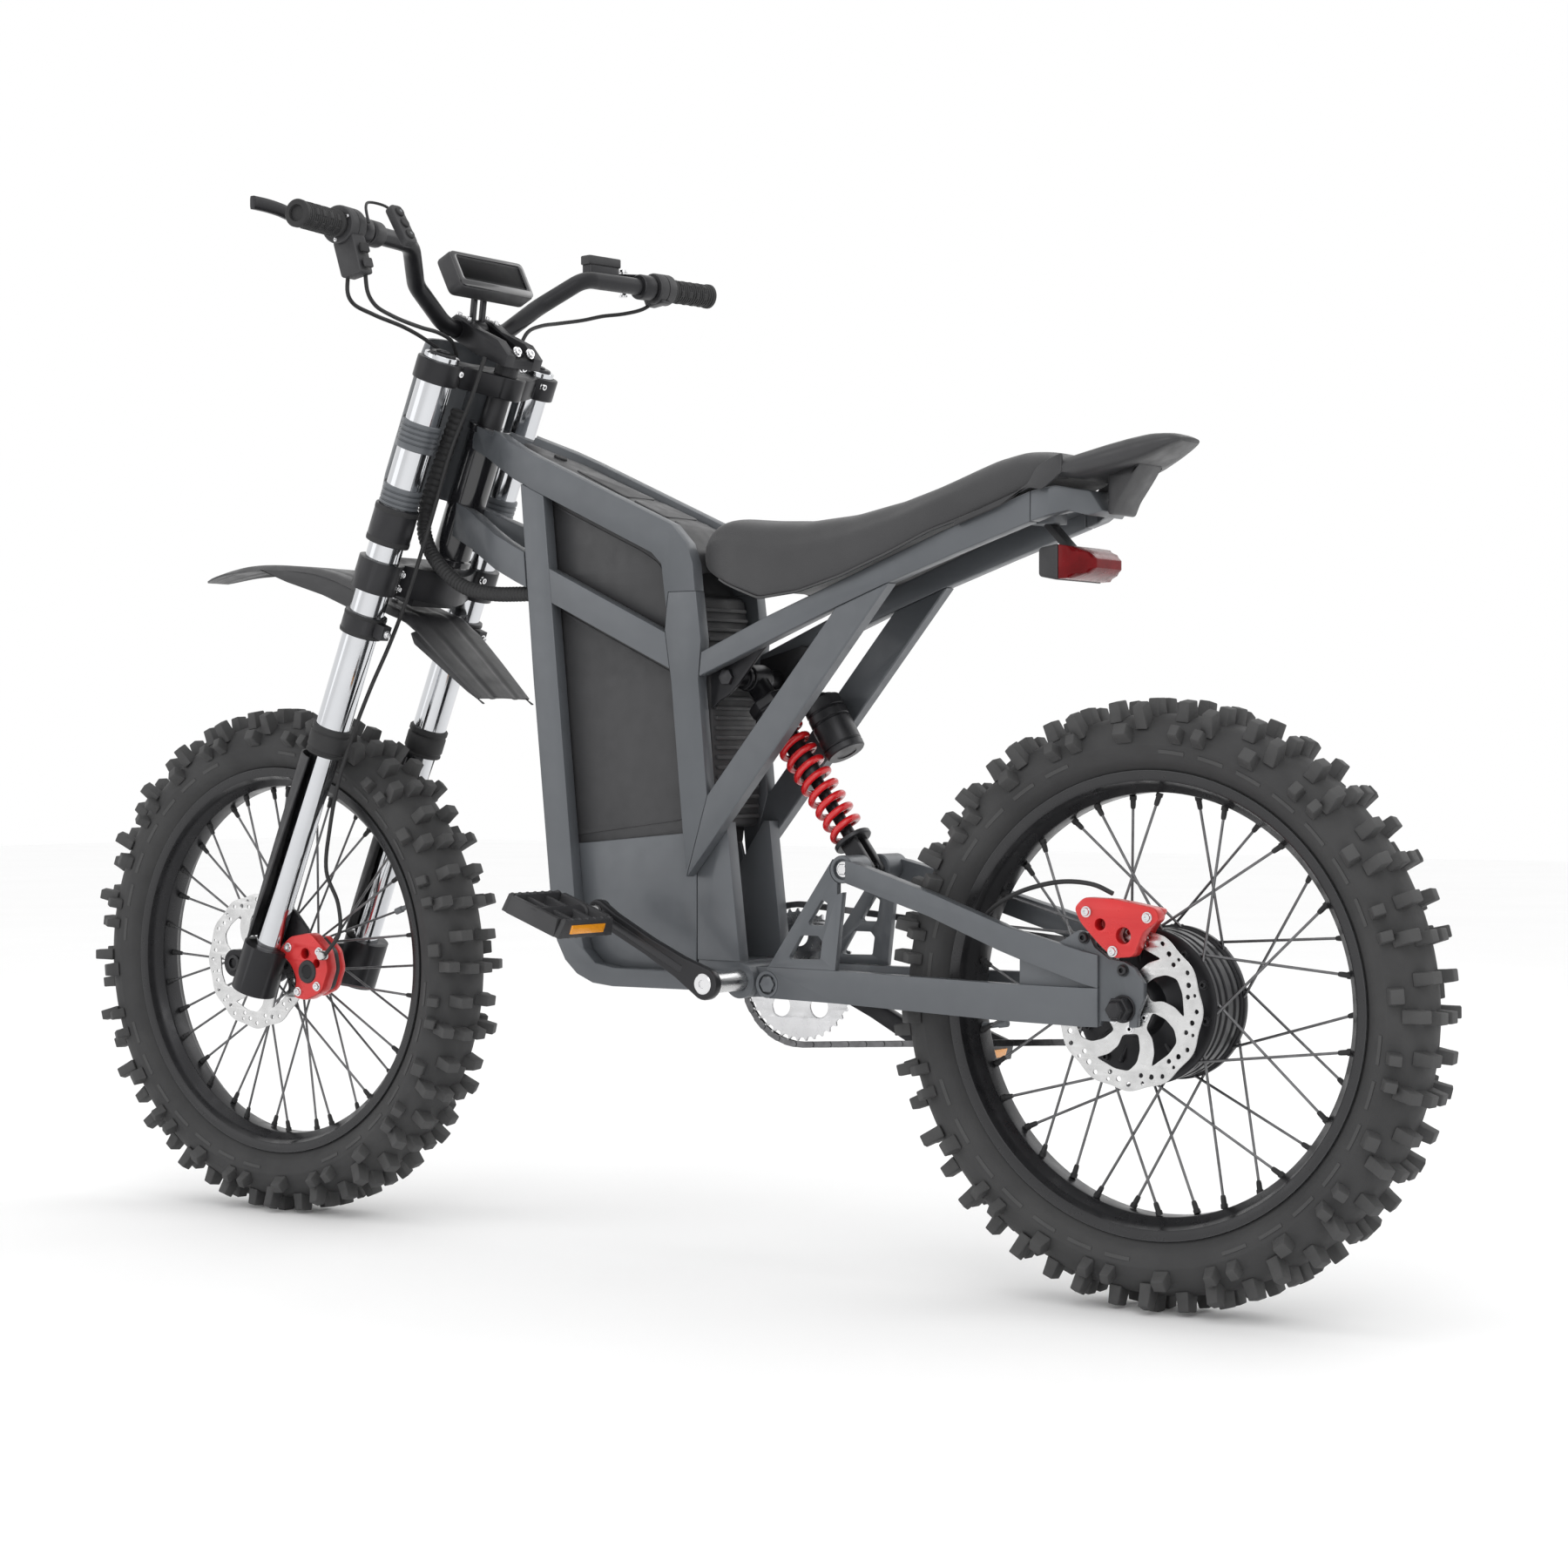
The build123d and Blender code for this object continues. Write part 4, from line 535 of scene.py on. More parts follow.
# bearing bosses and their recessed bolts
LINK, PIVOT, BB = (-267.8, 468.5), (-163.6, 333.7), (-119.0, 336.0)
pile = Pile()
for (x, z), y0 in ((PIVOT, 38.5), (LINK, 17.0)):
    for s in (1, -1):
        v, f = lathe_vf([(y0, 8), (y0, 14.5), (y0 + 1.5, 15.9), (56.6, 15.9), (57.8, 15.1), (57.8, 12.4), (57.0, 11.6), (53.4, 11.4), (53.4, 8)], 40, True)
        pile.add(v, f, frame_mtx((x, 0, z), (0, s, 0)))
piece("arm_boss_rings", pile.v, pile.f, "frame", "swingarm", smooth=32, replaces="arm_bosses")
bolts("arm_boss_bolts", [y_place(LINK[0], 53.2 * s, LINK[1], s) for s in (1, -1)], "bolt", "swingarm", 12, 4.2, "hex")
bolts("pivot_bolts", [y_place(PIVOT[0], 53.2 * s, PIVOT[1], s) for s in (1, -1)], "bolt", "chassis", 12, 4.2, "hex")
bolts("gusset_bolts", [y_place(-104, 51.9 * s, 689, s) for s in (1, -1)], "bolt", "chassis", 11, 5.5, "hex")


# ------------------------------------------------------------------- wheels
def carcass_r(y):
    """Radius of the tyre body at a distance y from the middle."""
    pts = [(0, 313.3), (13, 312.3), (26, 308.5), (36, 301), (41.5, 291), (43.2, 281)]
    y = abs(y)
    for (a, ra), (b, rb) in zip(pts, pts[1:]):
        if y <= b:
            return ra + (rb - ra) * (y - a) / (b - a)
    return 281


def tyre(name, x, body, node):
    outer = [(-25.4, 245.2), (-28.6, 253.6), (-31.5, 256.2), (-35.5, 259.5), (-39.3, 264.8), (-41.4, 270), (-42.8, 276), (-43.6, 278.6), (-43.8, 280), (-43.4, 281.6), (-43.0, 286), (-41.5, 291.5),
             (-39.2, 296.5), (-36, 301), (-31.5, 305.2), (-26, 308.5), (-20, 310.8), (-13, 312.4), (-6, 313.1)]
    outer = outer + [(0, 313.3)] + [(-a, r) for a, r in reversed(outer)]
    inner = [(21.5, 245.2), (24, 256), (32, 266), (38, 280), (36, 296), (24, 304), (0, 308), (-24, 304), (-36, 296), (-38, 280), (-32, 266), (-24, 256), (-21.5, 245.2)]
    v, f = lathe_vf([(a, r) for a, r in outer + inner], 144, True)
    pile = Pile().add(v, f)
    knob = Pile()
    rnd = random.Random(3 if x > 0 else 5)

    def block(phi, yc, w, t, top, tilt, base_drop=3.0, taper=0.86, groove=True):
        """One knob: w across, t along the tread, reaching radius top at yc; tilt leans it outwards."""
        n_in = Vector((0, math.sin(tilt), math.cos(tilt)))
        r0 = carcass_r(yc) - base_drop
        h = (top - r0) / max(0.5, math.cos(tilt)) if tilt < 0.9 and tilt > -0.9 else top
        base = Vector((0, yc, r0))
        ydir = Vector((0, math.cos(tilt), -math.sin(tilt)))
        ring = []
        for lv, tp in ((0.0, 1.10), (0.45, 0.97), (1.0, taper)):
            for a, b in ((-0.5, -0.5), (0.5, -0.5), (0.5, 0.5), (-0.5, 0.5)):
                p = base + n_in * (h * lv) + ydir * (a * w * tp) + Vector((b * t * tp, 0, 0))
                ring.append(p)
        f2 = [(0, 3, 2, 1), (8, 9, 10, 11)]
        for l in (0, 4):
            for k in range(4):
                f2.append((l + k, l + (k + 1) % 4, l + 4 + (k + 1) % 4, l + 4 + k))
        jig = 1 + rnd.uniform(-0.02, 0.02)
        c, s = math.cos(phi), math.sin(phi)
        out = []
        for p in ring:
            xx, yy, rr = p.x * jig, p.y, p.z
            # local x runs along the tread, so bend it on to the circle
            out.append((rr * math.cos(phi + xx / 320), rr * math.sin(phi + xx / 320), yy))
        knob.add(out, f2)

    for u in range(24):
        p0 = math.radians(15 * u)
        step = math.radians(1)
        for sgn in (1, -1):
            block(p0, 12.0 * sgn, 19, 14, 329.7, 0.04 * sgn)
            block(p0 + 0.6 * step, 34.0 * sgn, 18, 14.5, 323.0, 0.42 * sgn)
            block(p0 + 7.5 * step, 20.5 * sgn, 22, 14.5, 328.6, 0.14 * sgn)
            if u % 2:
                for d in (1.6, 7.0):
                    block(p0 + d * step, 40.5 * sgn, 15, 13.5, 17.0, 1.02 * sgn, 4.0)
            else:
                block(p0 + 4.6 * step, 40.5 * sgn, 16, 19, 16.5, 1.02 * sgn, 4.0)
    mt = frame_mtx((x, 0, AZ), (0, 1, 0), (1, 0, 0))
    a = Pile().add(pile.v, pile.f, mt)
    piece(name + "_body", a.v, a.f, "tyre", body, smooth=40, replaces=node)
    b = Pile().add(knob.v, knob.f, mt)
    piece(name + "_knobs", b.v, b.f, "tyre", body, smooth=50, bevel=1.3, seg=2, angle=25)
    # raised sidewall ribs, plain blocks with no lettering
    rib = Pile()
    for sgn in (1, -1):
        for k in range(36):
            if k % 9 in (0, 1):
                continue
            a0 = math.radians(10 * k)
            pts = []
            for da in np.linspace(0, math.radians(6.4), 5):
                for r, yy in ((270.5, 41.0), (270.5, 42.2), (274.5, 43.1), (274.5, 41.6)):
                    pts.append((r * math.cos(a0 + da), r * math.sin(a0 + da), yy * sgn))
            fs = [(0, 1, 2, 3), (16, 19, 18, 17)]
            for l in range(4):
                for q in range(4):
                    fs.append((l * 4 + q, l * 4 + (q + 1) % 4, l * 4 + 4 + (q + 1) % 4, l * 4 + 4 + q))
            rib.add(pts, fs)
    c = Pile().add(rib.v, rib.f, mt)
    piece(name + "_ribs", c.v, c.f, "tyre", body, smooth=40)


def rim(name, x, body, node):
    prof = [(-32, 243.5), (-32, 251.6), (-31.2, 252.4), (-29.2, 252.4), (-28.4, 251.6), (-27.4, 244.4), (-19, 241.6), (-11, 233), (11, 233), (19, 241.6), (27.4, 244.4),
            (28.4, 251.6), (29.2, 252.4), (31.2, 252.4), (32, 251.6), (32, 243.5), (30.2, 240.6), (24.5, 238.6), (19.5, 236), (13.4, 228.7), (11.5, 228.0), (-11.5, 228.0), (-13.4, 228.7),
            (-19.5, 236), (-24.5, 238.6), (-30.2, 240.6)]
    lathe(name + "_hoop", prof, (x, 0, AZ), (0, 1, 0), "rim", body, 144, closed=True, smooth=32, replaces=node)
    p = Pile()
    for s in (1, -1):
        v, f = lathe_vf([(s * 31.9, 244.0), (s * 32.0, 251.9), (s * 31.0, 252.5), (s * 29.6, 252.5), (s * 30.4, 244.0)], 144, True)
        p.add(v, f, frame_mtx((x, 0, AZ), (0, 1, 0)))
    piece(name + "_flange", p.v, p.f, "flange", body, smooth=40)
    # air valve with its collar
    a = math.radians(-9 if x < 0 else 160)
    u = Vector((math.cos(a), 0, math.sin(a)))
    o = Vector((x, 0, AZ))
    lathe(name + "_valve", [(0, 5.5), (2.5, 5.5), (2.5, 3.4), (20, 3.2), (20, 4.2), (31, 4.2), (32, 3.4), (32, 0)], o + u * 228.2, -u, "grey", body, 20, smooth=32)


def spokes(name, x, body, node, flange_y, flange_r):
    p, nip = Pile(), Pile()
    for i in range(36):
        side = 1 if i % 2 else -1
        a_rim = math.radians(i * 10)
        a_hub = a_rim + math.radians(34 if (i // 2) % 2 else -34)
        off = 1.7 if (i // 2) % 2 else -1.7
        h = Vector((x + flange_r * math.cos(a_hub), side * flange_y + off, AZ + flange_r * math.sin(a_hub)))
        r = Vector((x + 227.4 * math.cos(a_rim), side * 6.0, AZ + 227.4 * math.sin(a_rim)))
        d = (r - h).normalized()
        v, f = sweep_vf([h, r], 1.55, 10)
        p.add(v, f)
        v, f = lathe_vf([(0, 1.9), (0.6, 2.5), (3, 2.9), (10, 3.1), (10, 3.9), (14.5, 3.9)], 12)
        nip.add(v, f, frame_mtx(r - d * 14.5, d))
        # bent elbow and head at the hub flange
        v, f = sweep_vf([h - d * 0.5, h - Vector((0, 1, 0)) * off * 1.6], 1.6, 8)
        p.add(v, f)
        v, f = lathe_vf([(-1.4, 0), (-1.2, 2.4), (0.2, 3.0), (0.8, 2.4), (0.8, 0)], 10)
        p.add(v, f, frame_mtx(h - Vector((0, 1, 0)) * off * 1.7, (0, 1, 0)))
    piece(name, p.v, p.f, "chain", body, smooth=40, replaces=node)
    piece(name + "_nipples", nip.v, nip.f, "rubber", body, smooth=40)


tyre("front_tread", FX, "front_wheel", "front_tyre")
tyre("rear_tread", BX, "rear_wheel", "rear_tyre")
rim("front_hoop", FX, "front_wheel", "front_rim")
rim("rear_hoop", BX, "rear_wheel", "rear_rim")
spokes("front_spoke_set", FX, "front_wheel", "front_spokes", 31.5, 28.0)
spokes("rear_spoke_set", BX, "rear_wheel", "rear_spokes", 33.0, 82.0)

lathe("front_hub_shell", [(-60, 8), (-60, 14), (-58.5, 15), (-36, 16), (-34.8, 29.2), (-34, 30), (-29.6, 30), (-28.8, 29), (-27, 19), (-24, 18), (24, 18), (27, 19), (28.8, 29), (29.6, 30), (34, 30),
                          (35.5, 27), (37, 24), (61.5, 24), (62.6, 23), (62.6, 8)], (FX, 0, AZ), (0, 1, 0), "black_metal", "front_wheel", 48, closed=True, smooth=30, replaces="front_hub")

# hub motor: finned drum, bolted side covers with ribs, and the cog
MOTOR = [(-75.6, 8), (-75.6, 20), (-72.8, 22), (-70, 26), (-64, 28), (-50, 29), (-47, 31), (-44.5, 40), (-41.5, 56), (-39.5, 62), (-38.6, 70), (-38.2, 79), (-37.2, 83), (-35.6, 84.0), (-31, 84), (-30, 82.2),
         (-27, 82.2), (-26, 80), (-20, 80), (-19, 81.6), (-13, 81.6), (-12, 80), (-6, 80), (-5, 81.6), (5, 81.6), (6, 80), (12, 80), (13, 81.6), (19, 81.6), (20, 80), (26, 80),
         (27, 82.2), (30, 82.2), (31, 84), (35.6, 84.0), (37.2, 83), (38.2, 79), (38.8, 70), (40, 62), (44.5, 48), (49, 36), (51, 33), (60, 31), (72, 30), (73.7, 29), (73.7, 8)]
lathe("motor_drum", MOTOR, (BX, 0, AZ), (0, 1, 0), "black_metal", "rear_wheel", 96, closed=True, smooth=28, replaces="hub_motor")
places = []
for k in range(12):
    a = math.radians(30 * k + 10)
    for s, yy in ((1, 38.3), (-1, 38.3)):
        places.append((Vector((BX + 74 * math.cos(a), s * yy, AZ + 74 * math.sin(a))), Vector((0, s, 0))))
bolts("motor_bolts", places, "black_metal", "rear_wheel", 7, 4.0, "socket")
rib = Pile()
for k in range(12):
    a = math.radians(30 * k + 25)
    for s in (1, -1):
        v, f = box_vf(27, 4, 5, 0.8)
        o = Vector((BX + 55 * math.cos(a), s * 42.5, AZ + 55 * math.sin(a)))
        rib.add(v, f, frame_mtx(o, (0, s, 0.0), (math.cos(a), 0, math.sin(a))))
piece("motor_ribs", rib.v, rib.f, "black_metal", "rear_wheel", smooth=30, bevel=0.8)


def teeth(r_root, r_tip, n):
    out = []
    for i in range(n):
        for d, r in ((-0.30, r_root), (-0.16, r_root + (r_tip - r_root) * 0.55), (-0.07, r_tip), (0.07, r_tip), (0.16, r_root + (r_tip - r_root) * 0.55), (0.30, r_root)):
            a = 2 * math.pi * (i + d) / n
            out.append((r * math.cos(a), r * math.sin(a)))
    return out


XA, YA, ZA = (1, 0, 0), (0, 1, 0), (0, 0, 1)
plate("rear_cog", [teeth(42.5, 48, 23), circle(0, 0, 21, 36)] + [circle(31 * math.cos(a), 31 * math.sin(a), 5, 16) for a in np.linspace(0, 2 * math.pi, 6, endpoint=False)], 2.6,
      (BX, -74, AZ), XA, ZA, "chain", "rear_wheel", edge=0.4, smooth=30)


def brake_disc(name, x, y, body, node):
    wave = []
    for i in range(180):
        a = 2 * math.pi * i / 180
        wave.append(((86.6 + 1.3 * math.cos(12 * a)) * math.cos(a), (86.6 + 1.3 * math.cos(12 * a)) * math.sin(a)))
    holes = []
    for k in range(12):
        a = math.radians(30 * k)
        for r, da, hr in ((80.5, 0, 2.6), (76.2, 9, 2.9), (71.8, 18, 2.6), (80.0, 18, 2.0)):
            holes.append(circle(r * math.cos(a + math.radians(da)), r * math.sin(a + math.radians(da)), hr, 12))
    for k in range(6):
        a0 = math.radians(60 * k)
        pts = []
        for r, da in ((29, 6), (45, 12), (58, 20), (66.5, 30), (66.5, 44), (66.5, 66), (55, 56), (42, 47), (29, 44)):
            pts.append((r * math.cos(a0 + math.radians(da)), r * math.sin(a0 + math.radians(da))))
        holes.append(round_poly(pts, 4, 3))
    plate(name, [wave, circle(0, 0, 8.0, 36)] + holes, 2.0, (x, y, AZ), XA, ZA, "disc", body, edge=0.3, smooth=30, replaces=node)
    pl = []
    s = 1
    for k in range(6):
        a = math.radians(60 * k + 24)
        pl.append((Vector((x + 22 * math.cos(a), y + 1.0, AZ + 22 * math.sin(a))), Vector((0, 1, 0))))
    bolts(name + "_bolts", pl, "bolt", body, 6.5, 3.0, "socket")


brake_disc("front_rotor", FX, 64, "front_wheel", "front_disc")
brake_disc("rear_rotor", BX, 75, "rear_wheel", "rear_disc")

# ------------------------------------------------------------------- axles
pile = Pile()
for s in (1, -1):
    v, f = lathe_vf([(87.2, 7), (87.2, 14.2), (88.0, 14.8), (89.4, 14.8), (89.9, 13.9), (89.9, 7)], 40, True)
    pile.add(v, f, frame_mtx((BX, 0, AZ), (0, s, 0)))
    v, f = lathe_vf([(90, 13.0), (90.8, 13.8), (101.5, 13.8), (103, 12.6), (103, 10.6), (108.5, 10.4), (111.5, 8.2), (112.6, 0)], 6)
    pile.add(v, f, frame_mtx((BX, 0, AZ), (0, s, 0)))
piece("rear_axle_nuts", pile.v, pile.f, "black_metal", "swingarm", smooth=28, bevel=0.7, replaces="rear_axle")
lathe("rear_axle_bar", [(-88, 6.9), (88, 6.9)], (BX, 0, AZ), (0, 1, 0), "steel", "swingarm", 24)
pile = Pile()
v, f = lathe_vf([(-107, 7.4), (100, 7.4), (104, 9.6), (107.5, 10.4), (108.6, 9.6), (108.6, 6.6), (106, 6.2), (106, 0)], 36)
pile.add(v, f, frame_mtx((FX, 0, AZ), (0, 1, 0)))
v, f = lathe_vf([(106.2, 10.6), (115, 10.6), (116, 9.4), (116, 0)], 6)
pile.add(v, f, frame_mtx((FX, 0, AZ), (0, -1, 0)))
piece("front_axle_bar", pile.v, pile.f, "black_metal", "fork_lower", smooth=30, replaces="front_axle")

# -------------------------------------------------------------------- fork
pile, seal, cap = Pile(), Pile(), Pile()
for y in (91, -91):
    mt = frame_mtx(leg(0, 0, y), DOWN)
    v, f = lathe_vf([(2.4, 17.4), (2.4, 21.2), (3.1, 22), (498, 22), (498, 17.4)], 56, True)
    pile.add(v, f, mt)
    v, f = lathe_vf([(494, 17.5), (494, 24.6), (495, 25.5), (500, 25.5), (501, 24.6), (503, 24.2), (504, 25.0), (505, 25.5), (523, 25.5), (524, 25), (525, 24), (527, 24), (528, 25), (530, 25), (531, 24), (531, 17.5)], 56, True)
    seal.add(v, f, mt)
    v, f = lathe_vf([(-2.8, 0), (-2.8, 8), (-1.8, 9), (-0.6, 9), (-0.6, 15.5), (0.3, 16.8), (3.6, 16.8), (3.6, 0)], 40)
    cap.add(v, f, mt)
    v, f = lathe_vf([(-2.95, 0), (-2.95, 5), (1, 5.2), (1, 0)], 6)
    cap.add(v, f, mt)
piece("fork_outer_tubes", pile.v, pile.f, "chrome", "steering", smooth=40, replaces="fork_tubes")
piece("dust_seals", seal.v, seal.f, "rubber", "steering", smooth=32)
piece("fork_caps", cap.v, cap.f, "black_metal", "steering", smooth=32)

pile = Pile()
for y in (91, -91):
    v, f = lathe_vf([(300, 14.5), (300, 17.28), (800, 17.28), (800, 14.5)], 48, True)
    pile.add(v, f, frame_mtx(leg(0, 0, y), DOWN))
piece("stanchion_pair", pile.v, pile.f, "chrome", "fork_lower", smooth=40, replaces="stanchions")

# lower clamp: skin of the CAD solid, with added pinch bolts and collar rings
soften("lower_crown", "black_metal", "steering", 1.3, 2)
pl = []
for y in (91, -91):
    s = 1 if y > 0 else -1
    for t in (280, 299):
        pl.append((leg(t, -24, s * 77) + Vector((0, 0, 0)), -AHEAD))
    pl.append((leg(18, -24, s * 80), -AHEAD))
    pl.append((leg(354, -41.2, y), -AHEAD))
bolts("clamp_bolts", pl, "bolt", "steering", 7, 5, "socket")
pile = Pile()
for y in (91, -91):
    mt = frame_mtx(leg(0, 0, y), DOWN)
    for s0, s1, r in ((201, 207, 27.9), (241, 247, 27.9), (342.5, 346, 27.4), (364, 367.5, 27.4)):
        v, f = lathe_vf([(s0, r - 2), (s0, r - .4), (s0 + .6, r), (s1 - .6, r), (s1, r - .4), (s1, r - 2)], 56, True)
        pile.add(v, f, mt)
piece("collar_rings", pile.v, pile.f, "rubber", "steering", smooth=32)

# castings at the foot of each leg
soften("fork_castings", "black_metal", "fork_lower", 2.4, 4, smooth=40)
pile = Pile()
for s in (1, -1):
    v, f = lathe_vf([(859.5, 0), (859.5, 12), (862.5, 11), (862.5, 6), (860.5, 5.5), (860.5, 0)], 24)
    pile.add(v, f, frame_mtx(leg(0, 0, 94 * s), DOWN))
piece("fork_foot_valves", pile.v, pile.f, "bolt", "fork_lower", smooth=32)
bolts("guard_bolts", [(leg(789, 30.4, 91 * s), AHEAD) for s in (1, -1)], "bolt", "fork_lower", 7, 3.4, "socket")
bolts("axle_pinch_bolts", [(Vector((FX - 17, s * 80, AZ - 12)), Vector((-0.6, 0, -0.8))) for s in (1, -1)], "bolt", "fork_lower", 7, 3, "socket")

# guards ahead of the stanchions
pile = Pile()
for y in (91, -91):
    vv, ff = [], []
    rows = np.linspace(536, 795, 40)
    for i, s in enumerate(rows):
        t = (s - 536) / (795 - 536)
        half = math.radians(92 - 30 * t) if t < 0.72 else math.radians(92 - 30 * 0.72 - 66 * (t - 0.72))
        for j in range(15):
            a = -half + 2 * half * j / 14
            r = 29.3 + 0.6 * math.exp(-((abs(a) - half * 0.55) / 0.09) ** 2)
            p = leg(s, 0, y) + AHEAD * (r * math.cos(a)) + Vector((0, r * math.sin(a), 0))
            vv.append(p)
    for i in range(len(rows) - 1):
        for j in range(14):
            k = i * 15 + j
            ff.append((k, k + 1, k + 16, k + 15))
    pile.add([tuple(p) for p in vv], ff)
piece("fork_guard_shells", pile.v, pile.f, "black_plastic", "fork_lower", smooth=45, solid=-2.2, replaces="fork_guards", clean=False)

# front caliper: body, two halves with a parting line, pistons and bolts
CAL = round_poly([(588, 347), (568, 366), (532, 372), (507, 351), (501, 326), (513, 297), (540, 285), (561, 288), (556, 312), (566, 330)], 7, 4)
plate("front_caliper_outer", [CAL, circle(521, 333, 5.0, 20), circle(541, 345, 6.5, 24)], 18.5, (0, 77.2, 0), XA, ZA, "red_cal", "fork_lower", edge=2.2, smooth=40, replaces="front_caliper")
plate("front_caliper_inner", [round_poly([(546, 340), (532, 369), (509, 350), (503, 326), (514, 299), (538, 288), (546, 300)], 6, 4)], 10, (0, 54.8, 0), XA, ZA, "red_cal", "fork_lower", edge=1.8, smooth=40)
plate("front_caliper_bridge", [round_poly([(545, 350), (532, 368), (509, 349), (504, 326), (514, 300), (538, 291), (545, 300)], 6, 4)], 12, (0, 64, 0), XA, ZA, "black_metal", "fork_lower", edge=0.6, smooth=40)
plate("front_caliper_bracket", [round_poly([(600, 396), (575, 402), (546, 372), (538, 330), (552, 300), (570, 296), (574, 330), (590, 352)], 7, 4), circle(560, 318, 7, 20)], 6, (0, 70.5, 0), XA, ZA, "black_metal", "fork_lower", edge=0.8, smooth=35)
bolts("front_caliper_bolts", [(Vector((515, 86.6, 348)), Vector((0, 1, 0))), (Vector((519, 86.6, 304)), Vector((0, 1, 0))), (Vector((569, 86.6, 352)), Vector((0, 1, 0))),
                              (Vector((552, 86.6, 296)), Vector((0, 1, 0)))], "bolt", "fork_lower", 8, 4, "socket")
lathe("front_piston_cap", [(86.5, 15), (88, 14.2), (88, 9), (86.8, 8), (86.8, 0)], (536, 0, 322), YA, "black_metal", "fork_lower", 36, smooth=30)
lathe("front_banjo", [(88.1, 6), (90, 6.4), (95, 6.4), (97.5, 5), (97.5, 0)], (504, 0, 344), YA, "steel", "fork_lower", 20, smooth=30)

RCAL = round_poly([(-592, 436), (-604, 447.5), (-640, 446.5), (-690, 438), (-695, 426), (-675, 412), (-664, 386), (-640, 383.5), (-622, 398), (-600, 420)], 6, 4)
plate("rear_caliper_outer", [RCAL, circle(-624, 419, 6, 24), circle(-652, 408, 8.5, 28)], 17, (0, 88.2, 0), XA, ZA, "red_cal", "swingarm", edge=2.0, smooth=40, replaces="rear_caliper")
plate("rear_caliper_inner", [round_poly([(-600, 437), (-640, 444), (-688, 436), (-672, 410), (-662, 392), (-640, 388), (-612, 412)], 6, 4)], 11.5, (0, 66.6, 0), XA, ZA, "red_cal", "swingarm", edge=1.8, smooth=40)
plate("rear_caliper_bridge", [round_poly([(-604, 438), (-640, 444), (-686, 435), (-680, 424), (-640, 422), (-612, 424)], 3, 3)], 9, (0, 76.4, 0), XA, ZA, "black_metal", "swingarm", edge=0.6, smooth=40)
bolts("rear_caliper_bolts", [(Vector((-608, 97, 432)), Vector((0, 1, 0))), (Vector((-681, 97, 428)), Vector((0, 1, 0))), (Vector((-640, 97, 391)), Vector((0, 1, 0)))], "bolt", "swingarm", 8, 4, "socket")
bolts("caliper_mount_bolts", [(Vector((-600, 87.2, 404)), Vector((0, 1, 0))), (Vector((-647, 87.2, 371)), Vector((0, 1, 0)))], "black_metal", "swingarm", 9, 5, "socket")

# ------------------------------------------------------------------- hoses
HOSE_RUN = [(-10, -36, 56), (45, -37, 60), (110, -35, 66), (180, -37, 67), (250, -39, 69), (318, -37, 69), (372, -31, 68), (430, -32, 80), (490, -33, 88), (555, -34, 90), (615, -40, 88)]
HOSE = [leg(s, a, y) for s, a, y in HOSE_RUN] + [Vector(p) for p in ((505, 84, 451), (480, 89, 410), (474, 93, 374), (498, 93, 346))]
tube("front_brake_hose", HOSE, 2.6, "rubber", "fork_lower", step=6, n=12, replaces="front_hose",
     blend=("steering", "fork_lower", tuple(leg(385) * K), tuple(leg(640) * K)))
tube("rear_brake_hose", [(-452, 66, 404), (-470, 66, 428), (-500, 67, 446), (-540, 74, 458), (-580, 84, 463), (-614, 88, 460), (-634, 86, 451.5)], 2.6, "rubber", "swingarm", step=4, n=12, replaces="rear_hose")
C1 = [(263, 300, 1162), (264, 300, 1138), (270, 285, 1128), (282, 236, 1121), (302, 160, 1116), (322, 96, 1108), (332, 62, 1099), (340, 44, 1080)]
C2 = [(243, 293, 1163), (240, 292, 1138), (246, 274, 1126), (262, 225, 1119), (285, 150, 1116), (300, 100, 1116), (312, 62, 1110), (324, 40, 1096)]
C3 = [(276, -298, 1198), (284, -286, 1189), (300, -266, 1182), (318, -245, 1178), (327, -215, 1170), (329, -165, 1160), (324, -125, 1152), (314, -85, 1138), (306, -58, 1112)]
pile = Pile()
for pts in (C1, C2, C3):
    v, f = sweep_vf(smooth_path(pts, 4), 2.5, 12)
    pile.add(v, f)
piece("bar_cables", pile.v, pile.f, "rubber", "steering", smooth=60, replaces="control_cables")

# bellows beside the head tube and the duct that leads to the frame
lo, hi = Vector((379, 36.5, 908)), Vector((322, 36.5, 1028))
path = [lo + (hi - lo) * t for t in np.linspace(0, 1, 161)]


def bellow(t):
    return 9.0 + 1.8 * abs(math.sin(t * 16 * math.pi))


v, f = sweep_vf(path, bellow, 20)
pile = Pile().add(v, f)
v, f = sweep_vf(smooth_path([(379, 36, 909), (380, 38, 882), (365, 43, 854), (335, 49, 827), (300, 50, 806), (255, 53, 797), (212, 55.5, 795), (187, 56.5, 795)], 1.4), lambda t: 7.9 + 1.5 * abs(math.sin(t * 44 * math.pi)), 20)
pile.add(v, f)
piece("cable_bellows", pile.v, pile.f, "rubber", "chassis", smooth=60, replaces="cable_duct")

# ---------------------------------------------------------------- handlebar
BI, BO = Vector((286, 166, 1214)), Vector((256.2, 386.4, 1216.4))
BD = (BO - BI).normalized()


def on_bar(y, side=1):
    p = BI + BD * ((y - BI.y) / BD.y)
    return Vector((p.x, side * y, p.z))


